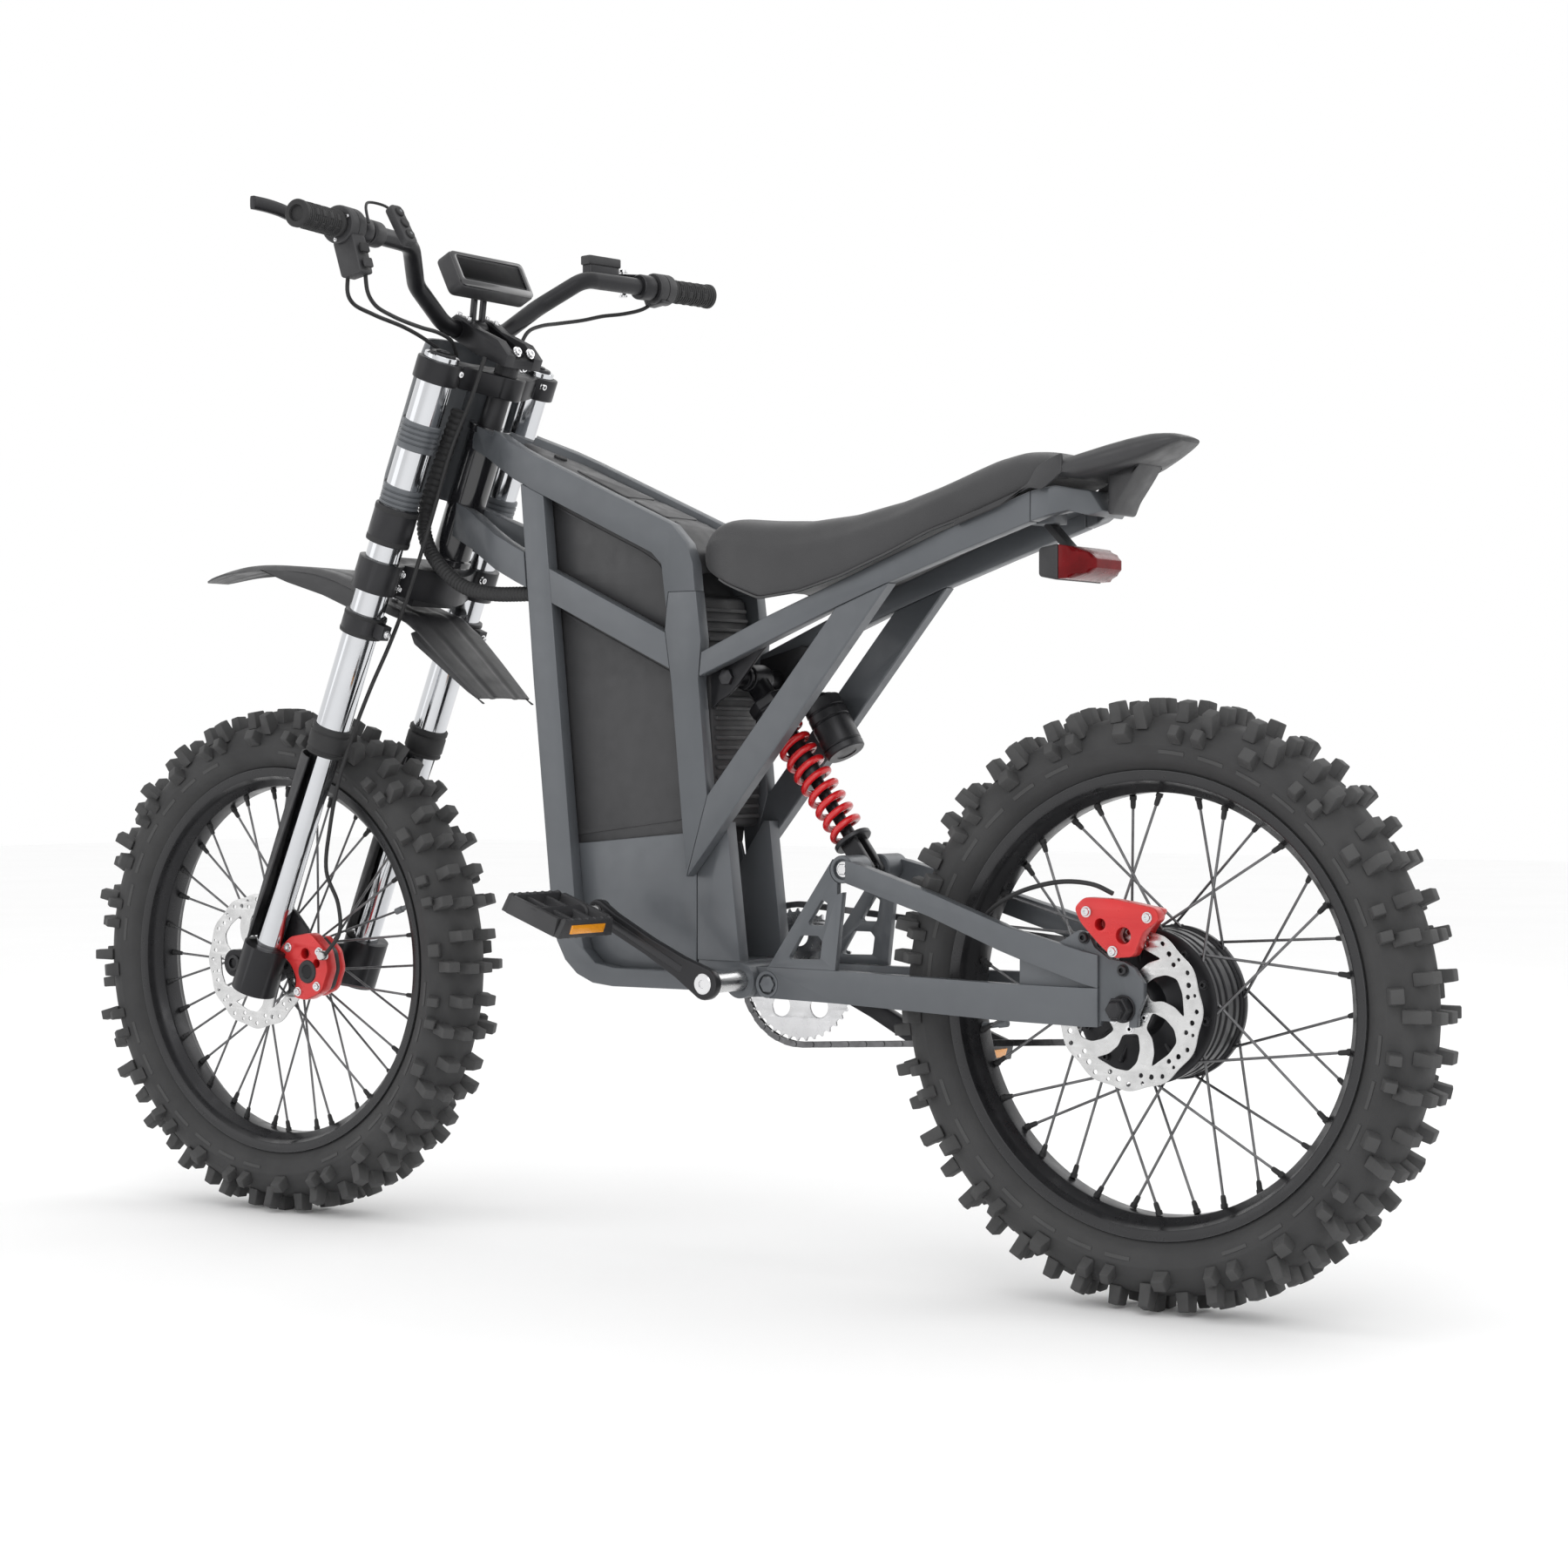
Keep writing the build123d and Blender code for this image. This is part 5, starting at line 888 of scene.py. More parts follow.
def rounded_path(points, radii, step=4.0):
    """Straight runs joined by arcs."""
    P = [Vector(p) for p in points]
    out = [P[0]]
    for i in range(1, len(P) - 1):
        a, b = (P[i - 1] - P[i]).normalized(), (P[i + 1] - P[i]).normalized()
        ang = math.pi - a.angle(b)
        t = radii[i - 1] * math.tan(ang / 2)
        s, e = P[i] + a * t, P[i] + b * t
        n = 10
        c = P[i] + (a + b).normalized() * (radii[i - 1] / math.cos(ang / 2))
        for k in range(n + 1):
            u = k / n
            q = s * (1 - u) + e * u - c
            out.append(c + q.normalized() * radii[i - 1])
    out.append(P[-1])
    return out


pts = [(256.2, -386.4, 1216.4), (286, -166, 1214), (323, -116, 1174), (331, -52, 1131), (331, 52, 1131), (323, 116, 1174), (286, 166, 1214), (256.2, 386.4, 1216.4)]
v, f = sweep_vf(rounded_path(pts, [42, 48, 60, 60, 48, 42]), 11.0, 28)
piece("bar_tube", v, f, "black_metal", "steering", smooth=50, replaces="handlebar")


def grip(name, side, body, node):
    """Ribbed grip with a flange inboard, an even ribbed middle and an end ring round a shallow recess."""
    L = (on_bar(394.4) - on_bar(318)).length
    prof = []
    prof += [(0, 11.3), (0, 15.6), (1.0, 16.4), (4.5, 16.4), (5.8, 15.2)]
    x = 6.5
    while x < L - 9:
        prof += [(x, 14.2), (x + 0.5, 15.2), (x + 2.6, 15.3), (x + 3.1, 14.2)]
        x += 4.0
    prof += [(L - 7, 14.8), (L - 6, 16.2), (L - 1.5, 16.3), (L - 0.2, 15.0), (L, 10.0), (L - 2, 9.0), (L - 4, 9.0), (L - 4, 0)]
    v, f = lathe_vf(prof, 40)
    mt = frame_mtx(on_bar(318, side), Vector((BD.x, side * BD.y, BD.z)))
    p = Pile().add(v, f, mt)
    piece(name, p.v, p.f, "grip", body, smooth=34, replaces=node)
    pads = Pile()
    for k in range(6):
        for r in range(4):
            a = math.radians(60 * k + 15)
            vv, ff = box_vf(7, 9, 1.6, 0.8)
            o = Vector((15.0 * math.cos(a), 15.0 * math.sin(a), 14 + r * 14))
            m2 = mt @ frame_mtx(o, (math.cos(a), math.sin(a), 0), (0, 0, 1))
            pads.add(vv, ff, m2)
    piece(name + "_pads", pads.v, pads.f, "grip", body, smooth=34, bevel=0.4)


grip("grip_left_body", 1, "steering", "left_grip")
grip("grip_right_body", -1, "throttle", "throttle_grip")


# stem: risers, bar clamps with caps and bolts
soften("stem", "black_metal", "steering", 1.2, 2)
pl = []
for y in (26, -26):
    c = Vector((331, y, 1131))
    for d, o in (((-0.42, 0, 0.907), 13.5), ((-0.42, 0, 0.907), -13.5)):
        dv = Vector(d)
        side = Vector((dv.z, 0, -dv.x))
        pl.append((c + dv * 15.5 + side * (o * 0.62), dv))
bolts("bar_clamp_bolts", pl, "bolt", "steering", 6, 4.5, "socket")
bolts("stem_bolts", [(Vector((249, 13, 1098)), Vector((-0.95, 0, 0.3))), (Vector((257, -9, 1082)), Vector((-0.8, 0, -0.55))), (Vector((250, -13, 1098)), Vector((-0.95, 0, 0.3)))], "bolt", "steering", 9, 4.5, "socket")

# display: rounded housing, dark glass, raised bezel and the bracket with its clamp ring
UPD, FACE = Vector((17.5, 0, 35.6)).normalized(), Vector((-35.6, 0, 17.5)).normalized()
dc = Vector((299, 0, 1200.7))
plate("display_shell", [round_poly([(-70, -26), (70, -26), (70, 26), (-70, 26)], 9, 5)], 24, dc - FACE * 13.2, (0, 1, 0), UPD, "black_plastic", "steering", edge=3.0, smooth=45, replaces="display")
plate("display_bezel", [round_poly([(-69, -25), (69, -25), (69, 25), (-69, 25)], 8, 5), round_poly([(-60, -15), (60, -15), (60, 20), (-60, 20)], 4, 4)], 2.6, dc - FACE * 1.3, (0, 1, 0), UPD, "gloss_black", "steering", edge=0.7, smooth=40)
plate("display_glass_pane", [round_poly([(-60.5, -15.5), (60.5, -15.5), (60.5, 20.5), (-60.5, 20.5)], 4, 4)], 1.0, dc - FACE * 1.7, (0, 1, 0), UPD, "screen", "steering", edge=0.2, smooth=40)
pile = Pile()
for y in (-8.6, 8.6):
    vv, ff = box_vf(7, 6, 42)
    pile.add(vv, ff, frame_mtx(Vector((322.5, y, 1163)), (-0.12, 0, 1)))
vv, ff = lathe_vf([(-13, 11.1), (-13, 14.6), (-12, 15.6), (12, 15.6), (13, 14.6), (13, 11.1)], 40, True)
pile.add(vv, ff, frame_mtx((331, 0, 1131), YA))
piece("display_bracket", pile.v, pile.f, "black_metal", "steering", smooth=35, bevel=0.8)

# ------------------------------------------------------- pods, keys, levers
SLV = lambda a, b, side: (on_bar(a, side), Vector((BD.x, side * BD.y, BD.z)))


def collar(name, y0, y1, r, side, m, rings=0, hole=11.1):
    L = (on_bar(y1) - on_bar(y0)).length
    pr = [(0, hole), (0, r - 1.6), (1.2, r - 0.3), (2.4, r)]
    for k in range(rings):
        x = L * (k + 1) / (rings + 1)
        pr += [(x - 0.9, r), (x - 0.5, r - 0.8), (x + 0.5, r - 0.8), (x + 0.9, r)]
    pr += [(L - 2.4, r), (L - 1.2, r - 0.3), (L, r - 1.6), (L, hole)]
    v, f = lathe_vf(pr, 56, True)
    p = Pile().add(v, f, frame_mtx(on_bar(y0, side), Vector((BD.x, side * BD.y, BD.z))))
    return p


L1 = collar("x", 287, 316, 22.5, 1, "", 1)
piece("left_pod_ring", L1.v, L1.f, "black_plastic", "steering", smooth=34, replaces="switch_pods")
R1 = collar("x", 287, 316, 20.5, -1, "", 1)
piece("right_pod_ring", R1.v, R1.f, "black_plastic", "steering", smooth=34)
for s in (1, -1):
    q = collar("x", 262, 284, 16.6, s, "", 0)
    piece("perch_ring_%s" % ("left" if s > 0 else "right"), q.v, q.f, "black_metal", "steering", smooth=34)
q = collar("x", 236, 257, 15.6, 1, "", 0)
piece("keypad_ring", q.v, q.f, "black_plastic", "steering", smooth=34)
plate("left_switch_box", [round_poly([(233, 1158), (264, 1153), (278, 1196), (272, 1206), (252, 1208), (246, 1203)], 4, 4)], 22, (0, 300, 0), XA, ZA, "black_plastic", "steering", edge=2.2, smooth=45)
plate("right_switch_box", [round_poly([(252, 1196), (282, 1192), (290, 1210), (264, 1214)], 4, 4)], 17, (0, -299, 0), XA, ZA, "black_plastic", "steering", edge=2.0, smooth=45)
for s, nm in ((1, "left"), (-1, "right")):
    plate(nm + "_perch_arm", [round_poly([(266, 1218), (296, 1213.5), (316, 1217), (318, 1229), (310, 1236), (268, 1231)], 3.5, 4)], 16, (0, s * 273, 0), XA, ZA, "black_metal", "steering", edge=1.8, smooth=45)
    lathe(nm + "_perch_pin", [(1205, 0), (1205, 5.4), (1207, 6), (1208, 4), (1238, 4), (1238, 6), (1241, 5.6), (1241, 2.4), (1239, 2.4), (1239, 0)], (306, s * 273, 0), ZA, "bolt", "steering", 24, smooth=32)
# key pad: angled plate with three keys, on its own block
kp_n = Vector((-0.86, 0, 0.51)).normalized()
kp_u = Vector((0, 1, 0))
kp_w = kp_n.cross(kp_u)
kc = Vector((228, 247, 1219))
plate("keypad_shell", [round_poly([(-10, -27), (10, -27), (10, 27), (-10, 27)], 6, 4)], 12, kc, kp_u, kp_w, "black_plastic", "steering", edge=2.2, smooth=45)
pile, dot = Pile(), Pile()
for k, o in enumerate((-16, 0, 16)):
    v, f = lathe_vf([(0, 6.2), (2.0, 6.2), (2.8, 5.2), (3.0, 0)], 24)
    pile.add(v, f, frame_mtx(kc + kp_n * 5.9 + kp_w * o, kp_n))
    if k != 1:
        v, f = lathe_vf([(2.9, 2.0), (3.15, 1.6), (3.15, 0)], 14)
        dot.add(v, f, frame_mtx(kc + kp_n * 5.9 + kp_w * o, kp_n))
piece("keypad_keys", pile.v, pile.f, "rubber", "steering", smooth=34)
piece("keypad_marks", dot.v, dot.f, "grey", "steering", smooth=34)
v, f = sweep_vf(smooth_path([(236, 247, 1232), (250, 250, 1244), (258, 268, 1247), (248, 286, 1238), (240, 290, 1218)], 3), 1.7, 10)
piece("keypad_lead", v, f, "rubber", "steering", smooth=60)
places = [(on_bar(316.2, 1) + Vector((18 * math.cos(a), 0, 18 * math.sin(a))), Vector((0, 1, 0))) for a in (0.6, 2.7, 4.8)]
bolts("pod_screws", places, "bolt", "steering", 3.4, 2.0, "socket")
soften("horn_button", "rubber", "horn_key", 0.8, 2)
soften("light_button", "black_plastic", "light_key", 0.8, 2)

# fluid reservoir on the right
plate("fluid_reservoir", [round_poly([(-29, -9.5), (29, -9.5), (29, 9.5), (-29, 9.5)], 4, 4)], 12, (312, -233, 1247), Vector((-8, -58, 0)).normalized(), Vector((58, -8, 0)).normalized(), "black_plastic", "steering", edge=1.6, smooth=45)
plate("reservoir_body", [round_poly([(-27, -8.5), (27, -8.5), (27, 8.5), (-27, 8.5)], 4, 4)], 24, (312, -233, 1229.5), Vector((-8, -58, 0)).normalized(), Vector((58, -8, 0)).normalized(), "black_metal", "steering", edge=1.2, smooth=45)
bolts("reservoir_screws", [(Vector((314.8, -213, 1251.4)), Vector((0, 0, 1))), (Vector((309.2, -253, 1251.4)), Vector((0, 0, 1)))], "bolt", "steering", 4, 1.6, "socket")


def lever(name, s, body, node):
    """Blade lever: flat blade of eight-sided section swept from the pivot, wider at the root and deeper further out.
    """
    path = smooth_path([(306, s * 273, 1223), (318, s * 279, 1224), (334, s * 290, 1226), (340, s * 306, 1231), (339, s * 330, 1236), (337, s * 356, 1238), (335, s * 384, 1238)], 3)
    n = len(path)

    def r(t):
        return 1.0

    sec = [(-1, -0.5), (-0.8, -0.95), (0.8, -0.95), (1, -0.5), (1, 0.5), (0.8, 0.95), (-0.8, 0.95), (-1, 0.5)]
    P = [Vector(p) for p in path]
    vv, ff = [], []
    for i, p in enumerate(P):
        t = i / (n - 1)
        tg = (P[min(n - 1, i + 1)] - P[max(0, i - 1)]).normalized()
        up = Vector((0, 0, 1))
        side = tg.cross(up).normalized()
        up = side.cross(tg)
        hw = (5.6 if t < 0.12 else 5.0) - 0.6 * math.sin(t * math.pi)
        hh = 6.4 + 1.8 * min(1, max(0, t - 0.25) / 0.3)
        for a, b in sec:
            vv.append(tuple(p + side * (a * hw * 0.72) + up * (b * hh)))
    m = len(sec)
    for i in range(n - 1):
        for k in range(m):
            ff.append((i * m + k, i * m + (k + 1) % m, (i + 1) * m + (k + 1) % m, (i + 1) * m + k))
    ff.append(tuple(range(m - 1, -1, -1)))
    ff.append(tuple((n - 1) * m + k for k in range(m)))
    piece(name, vv, ff, "black_metal", body, smooth=50, replaces=node, bevel=0.7)


lever("brake_blade_left", 1, "left_brake_lever", "left_lever")
lever("brake_blade_right", -1, "right_brake_lever", "right_lever")

# ------------------------------------------------------------------- shock
LINKP, TOPP = Vector((-267.8, 0, 468.5)), Vector((-104.0, 0, 689.0))
SD = (LINKP - TOPP).normalized()


def on_shock(s):
    return TOPP + SD * s


pile = Pile()
v, f = lathe_vf([(-15.2, 10.2), (-15.2, 15.2), (-14.2, 16), (14.2, 16), (15.2, 15.2), (15.2, 10.2)], 40, True)
pile.add(v, f, frame_mtx(TOPP, YA))
v, f = lathe_vf([(10, 14), (30, 14), (32, 17), (34.5, 24), (36, 25.6)], 40)
pile.add(v, f, frame_mtx(TOPP, SD))
v, f = lathe_vf([(34.5, 24.5), (36.5, 26.6), (46, 26.6), (48, 25.0), (50, 25.0), (52, 26.6), (60, 26.6), (61.8, 24.8), (61.8, 0)], 8)
pile.add(v, f, frame_mtx(TOPP, SD))
v, f = lathe_vf([(61, 12.3), (149, 12.3), (149.8, 11.6), (149.8, 8)], 40)
pile.add(v, f, frame_mtx(TOPP, SD))
vv, ff = box_vf(20, 20, 46)
c0, c1 = on_shock(46), Vector((-183, -24, 661))
pile.add(vv, ff, frame_mtx((c0 + c1) / 2, c1 - c0, YA))
piece("damper_body", pile.v, pile.f, "black_metal", "shock_upper", smooth=32, bevel=0.8, replaces="shock_body")
ra, rb = Vector((-183, -24, 661)), Vector((-220, -24, 600))
lathe("damper_reservoir", [(-7.5, 0), (-7.5, 9), (-6.5, 10), (-3, 10), (-3, 16.5), (-1.5, 17.6), (0, 18), (0.8, 22.5), (2.2, 23.6), (14, 23.6), (15, 22.6), (17, 22.6), (18, 23.9), (27, 23.9), (28, 22.9), (30, 22.9),
                           (31, 23.9), (60, 23.9), (61, 23.2), (62, 23.2), (63, 23.9), (69.5, 23.6), (71.1, 22), (71.3, 13), (70.3, 12), (70.3, 0)], ra, rb - ra, "black_metal", "shock_upper", 48, smooth=30)
turns, s0, s1 = 9.5, 66.6, 228.4
pts = []
steps = 9.5 * 36
for i in range(int(steps) + 1):
    t = i / steps
    a = 2 * math.pi * turns * t
    pts.append((18.0 * math.cos(a), 18.0 * math.sin(a), s0 + (s1 - s0) * t))
mt = frame_mtx(TOPP, SD)
v, f = sweep_vf(pts, lambda t: 4.2 * min(1, 0.45 + t * 22, 0.45 + (1 - t) * 22), 16)
p = Pile().add(v, f, mt)
piece("coil_spring", p.v, p.f, "red", "shock_upper", smooth=60, replaces="shock_spring", blend=("shock_upper", "shock_lower", tuple(on_shock(62) * K), tuple(on_shock(232) * K)))
pile = Pile()
v, f = lathe_vf([(118, 7.8), (231, 7.8), (232, 12), (233.2, 22.2), (234, 23), (238, 23), (239, 22), (239.4, 0)], 48)
pile.add(v, f, mt)
piece("damper_rod_seat", pile.v, pile.f, "black_metal", "shock_lower", smooth=32, replaces="shock_shaft")
L = (LINKP - TOPP).length
for y0, nm in ((9.5, "left"), (-9.5, "right")):
    nrm = Vector((SD.z, 0, -SD.x))
    out = round_poly([(-11, 236), (11, 236), (11, L + 6), (6, L + 12), (-6, L + 12), (-11, L + 6)], 4, 4)
    plate("clevis_" + nm, [out, circle(0, L, 8.2, 28)], 8, TOPP + Vector((0, y0, 0)), nrm, SD, "black_metal", "shock_lower", edge=1.2, smooth=35)
lathe("link_pin", [(-17, 5.9), (17, 5.9)], LINKP, YA, "steel", "swingarm", 24)

# ------------------------------------------------------- battery and cover
def side_shell(name, poly, half, m, body, radius=6, edge=3.0, **kw):
    return plate(name, [round_poly(poly, radius, 4)], 2 * half, (0, 0, 0), XA, ZA, m, body, edge=edge, smooth=40, **kw)


CASE = [(191, 923), (150, 905.5), (20, 847.5), (-25, 822.5), (-42, 787.5), (-57, 784), (-63, 745), (-76, 680), (-79, 560), (-77, 514.5), (-58, 512.5), (-55.5, 492.5), (143.5, 476.5), (165.5, 690), (179.5, 800)]
side_shell("battery_shell", CASE, 46.2, "case", "chassis", 5, 3.0, replaces=["battery_case", "battery_pack"])
# rear cooling fins, a lid seam and moulded side panels
pile = Pile()
for k in range(22):
    z = 526 + 11.6 * k
    x = -79.0 + max(0.0, z - 560) * 3.0 / 120 + max(0.0, z - 680) * 10.0 / 65
    vv, ff = box_vf(5.5, 82, 4.6)
    pile.add(vv, ff, frame_mtx((x - 1.2, 0, z), ZA, XA))
piece("battery_fins", pile.v, pile.f, "case", "chassis", smooth=34, bevel=1.2, seg=2)
for s in (1, -1):
    nm = "left" if s > 0 else "right"
    plate("battery_panel_" + nm, [round_poly([(140, 500), (-36, 522), (-44, 560), (-24, 694), (158, 778), (160, 690)], 9, 4)], 2.4, (0, s * 46.4, 0), XA, ZA, "case", "chassis", edge=0.9, smooth=35)
    plate("battery_upper_" + nm, [round_poly([(182, 912), (172, 812), (-16, 724), (-14, 790), (-2, 824), (24, 840)], 8, 4)], 2.0, (0, s * 46.4, 0), XA, ZA, "cover", "chassis", edge=0.8, smooth=35)
    plate("battery_strip_" + nm, [round_poly([(-46, 548), (-58, 548), (-50, 640), (-38, 740), (-26, 740), (-38, 640)], 3, 3)], 3.2, (0, s * 46.6, 0), XA, ZA, "cover", "chassis", edge=0.8, smooth=35)
# tank cover: crowned top with stepped pads
top = [(240, 985.5), (196, 966.4), (150, 946), (84, 917), (20, 889), (-12, 875), (-31, 866), (-49, 842), (-61, 815)]
bot = [(-61.5, 793), (-45, 793), (-28, 827), (20, 853), (150, 911), (214, 937)]
rows = []
for x, z in smooth_path([(a, 0, b) for a, b in top], 8) and [(p.x, p.z) for p in smooth_path([(a, 0, b) for a, b in top], 8)]:
    hw = 46.8 if x < 178 else max(11.5, 46.8 - (x - 178) * 35 / 62)
    rows.append((x, z, hw))
vv, ff = [], []
cols = np.linspace(-1, 1, 17)
for x, z, hw in rows:
    for c in cols:
        drop = 3.6 * abs(c) ** 3
        vv.append((x, c * hw, z - drop))
n = len(cols)
for i in range(len(rows) - 1):
    for j in range(n - 1):
        k = i * n + j
        ff.append((k, k + 1, k + n + 1, k + n))
piece("tank_cover_skin", vv, ff, "cover", "chassis", smooth=40, solid=3.0, replaces="tank_cover")
for nm, xa, xb, hw0, hw1 in (("front", 150, 64, 20, 30), ("middle", 54, 2, 30, 33), ("rear", -8, -36, 32, 30)):
    def zt(x):
        for (x0, z0), (x1, z1) in zip(top, top[1:]):
            if x <= x0 and x >= x1:
                return z0 + (z1 - z0) * (x - x0) / (x1 - x0)
        return 850
    za, zb = zt(xa), zt(xb)
    u = Vector((xb - xa, 0, zb - za)).normalized()
    Ln = math.hypot(xb - xa, zb - za)
    plate("cover_pad_" + nm, [round_poly([(0, -hw0), (Ln, -hw1), (Ln, hw1), (0, hw0)], 7, 4)], 3.4, (xa, 0, za - 0.6), u, YA, "cover", "chassis", edge=1.3, smooth=40)
v, f = lathe_vf([(0, 8.5), (2.6, 8.5), (3.6, 7.4), (3.6, 0)], 28)
key = Pile().add(v, f, frame_mtx((190, 0, 963.0), (-0.4, 0, 0.915)))
piece("charge_cap", key.v, key.f, "rubber", "chassis", smooth=34)

# --------------------------------------------------------------------- seat
SEAT_TOP = [(-53, 842), (-60, 856), (-74, 868), (-93, 874.5), (-110, 875.5), (-153, 872), (-213, 868), (-281, 873), (-350, 885), (-399, 899), (-437, 913), (-472, 925), (-503, 931.5), (-528, 929.5), (-545, 923), (-554, 913)]
SEAT_LOW = [(-53, 836), (-62, 822), (-72, 815), (-112, 797), (-165, 778.5), (-221, 784), (-281, 800), (-344, 823), (-400, 846), (-481, 873), (-530, 893.5), (-554, 897)]
SEAT_HALF = [(-53, 22), (-60, 40), (-80, 55), (-105, 66), (-130, 73), (-165, 77.5), (-200, 80.3), (-300, 81.6), (-400, 80.5), (-430, 75), (-480, 71.5), (-530, 66), (-545, 58), (-554, 44)]


def interp(table, x):
    t = sorted(table)
    if x <= t[0][0]:
        return t[0][1]
    for (a, ra), (b, rb) in zip(t, t[1:]):
        if x <= b:
            k = (x - a) / (b - a)
            return ra + (rb - ra) * k
    return t[-1][1]


def soft_interp(table, x, w=9.0):
    return sum(interp(table, x + d * w) for d in (-1, -0.5, 0, 0.5, 1)) / 5


xs = [-53.2, -54.6, -57.5, -62, -69] + list(np.linspace(-78, -520, 76)) + [-526, -533, -540, -546, -550.5, -553.2, -554.4]
rings = []
for x in xs:
    zt = soft_interp(SEAT_TOP, x, 5)
    zb = soft_interp(SEAT_LOW, x, 5)
    hw = soft_interp(SEAT_HALF, x, 5)
    if x > -60:
        t = (x + 60) / 7.0
        k = math.sqrt(max(0.02, 1 - min(1, t) ** 2))
        mid = zb + (zt - zb) * 0.5
        zt, zb, hw = mid + (zt - mid) * (0.35 + 0.65 * k), mid + (zb - mid) * (0.35 + 0.65 * k), hw * (0.55 + 0.45 * k)
    under = max(zb + 3, min(zt - 12, interp([(-600, 895), (-528, 891), (-400, 847), (-170, 762), (-62, 740)], x) if x > -400 else zb + 3))
    h = zt - zb
    ring = []
    # ridge runs from the nose along each flank and fades out at the tail
    rid = 1.0 if x < -90 else max(0.0, (-x - 55) / 35)
    rid *= 1.0 if x > -380 else max(0.0, 1 - (-x - 380) / 120)
    sec = [(0.0, 1.0), (0.30, 0.995), (0.52, 0.972), (0.70, 0.925), (0.80, 0.865), (0.87, 0.79), (0.915, 0.70), (0.95, 0.60), (0.972, 0.49), (0.99, 0.37), (1.0, 0.25), (1.0, 0.14), (0.992, 0.06), (0.975, 0.0)]
    half = []
    for a, b in sec:
        y = hw * a
        z = zb + h * b
        # shallow valley above the ridge line
        if 0.6 <= b <= 0.93:
            y -= rid * 3.2 * math.sin((b - 0.6) / 0.33 * math.pi)
        half.append((y, z))
    # bottom: lip, then up to the hidden underside
    yl = hw * 0.975
    if x < -75 and x > -430:
        inner = [(yl - 1.6, zb - 0.2), (max(yl - 3.2, 72.3) if yl > 75.5 else yl - 3.2, zb + 2.5), (min(yl - 3.4, 72.2) if yl > 75.6 else yl - 3.6, max(zb + 6, under)), (35, max(zb + 6, under) + 1), (0, max(zb + 6, under) + 1)]
    else:
        inner = [(yl - 1.6, zb + 0.2), (yl - 4, zb + 1.5), (yl * 0.7, zb + 2.5), (yl * 0.35, zb + 2.5), (0, zb + 2.5)]
    prof = half + inner
    full = [(y, z) for y, z in prof] + [(-y, z) for y, z in reversed(prof[1:-1])]
    rings.append([(x, y, z) for y, z in full])
n = len(rings[0])
vv = [p for r in rings for p in r]
ff = []
for i in range(len(rings) - 1):
    for k in range(n):
        ff.append((i * n + k, i * n + (k + 1) % n, (i + 1) * n + (k + 1) % n, (i + 1) * n + k))
ff.append(tuple(range(n)))
ff.append(tuple((len(rings) - 1) * n + k for k in range(n - 1, -1, -1)))


def settle(verts, faces, cap=2.2):
    """Relaxes the hide like a sewn cover over foam: small swell between the hem and the ridge."""
    rnd = np.random.default_rng(4)
    out = []
    for x, y, z in verts:
        zt = soft_interp(SEAT_TOP, x, 5)
        w = max(0.0, 1 - abs(zt - z) / 60)
        e = math.sin(x * 0.021 + 1.3) * math.sin(y * 0.05 + 0.4) * 0.5 + math.sin(x * 0.055 + y * 0.031) * 0.28
        out.append((x, y, z + e * w * min(1, cap / 2.2) * (1 if -540 < x < -70 else 0)))
    return out


vv = settle(vv, ff)
seat_o = piece("seat_cushion", vv, ff, "vinyl", "chassis", smooth=75, sub=1, replaces="seat", clean=True)
# moulded seat base edge under the cover
lip = []
for s in (1, -1):
    pts = [(x, s * (soft_interp(SEAT_HALF, x, 5) * 0.988), soft_interp(SEAT_LOW, x, 5) - 0.2) for x in np.linspace(-100, -520, 60)]
    v, f = sweep_vf(pts, 1.7, 8)
    lip.append((v, f))
pile = Pile()
for v, f in lip:
    pile.add(v, f)
piece("seat_piping", pile.v, pile.f, "gloss_black", "chassis", smooth=60)

# --------------------------------------------------------------- tail parts
rows = []
TT = [(-559, 920.5), (-575, 925.5), (-600, 932.6), (-625, 939.2), (-648, 943.6), (-668, 943.0), (-676, 940.0), (-683, 936.5)]
TB = [(-559, 897.5), (-575, 895), (-600, 901), (-625, 908), (-648, 917), (-668, 927), (-683, 935)]
TH = [(-559, 78.5), (-575, 75), (-604, 64), (-645, 44), (-668, 34), (-676, 28), (-683, 16)]
rings = []
for x in list(np.linspace(-559, -672, 24)) + [-676, -678.4, -679.4]:
    zt, zb, hw = soft_interp(TT, x, 4), soft_interp(TB, x, 4), soft_interp(TH, x, 4)
    zt = max(zt, zb + 1.0)
    r = []
    for a, b in ((0, 1.0), (0.35, 0.985), (0.68, 0.93), (0.88, 0.80), (0.97, 0.62), (1.0, 0.42), (0.97, 0.2), (0.86, 0.06), (0.6, 0.0), (0.3, 0.0), (0.0, 0.0)):
        r.append((x, hw * a, zb + (zt - zb) * b))
    rings.append(r + [(x, -y, z) for x_, y, z in reversed(r[1:-1])])
n = len(rings[0])
vv = [p for r in rings for p in r]
ff = []
for i in range(len(rings) - 1):
    for k in range(n):
        ff.append((i * n + k, i * n + (k + 1) % n, (i + 1) * n + (k + 1) % n, (i + 1) * n + k))
ff.append(tuple(range(n)))
ff.append(tuple((len(rings) - 1) * n + k for k in range(n - 1, -1, -1)))
piece("tail_beak", vv, ff, "fender", "chassis", smooth=45, replaces="tail_fender")
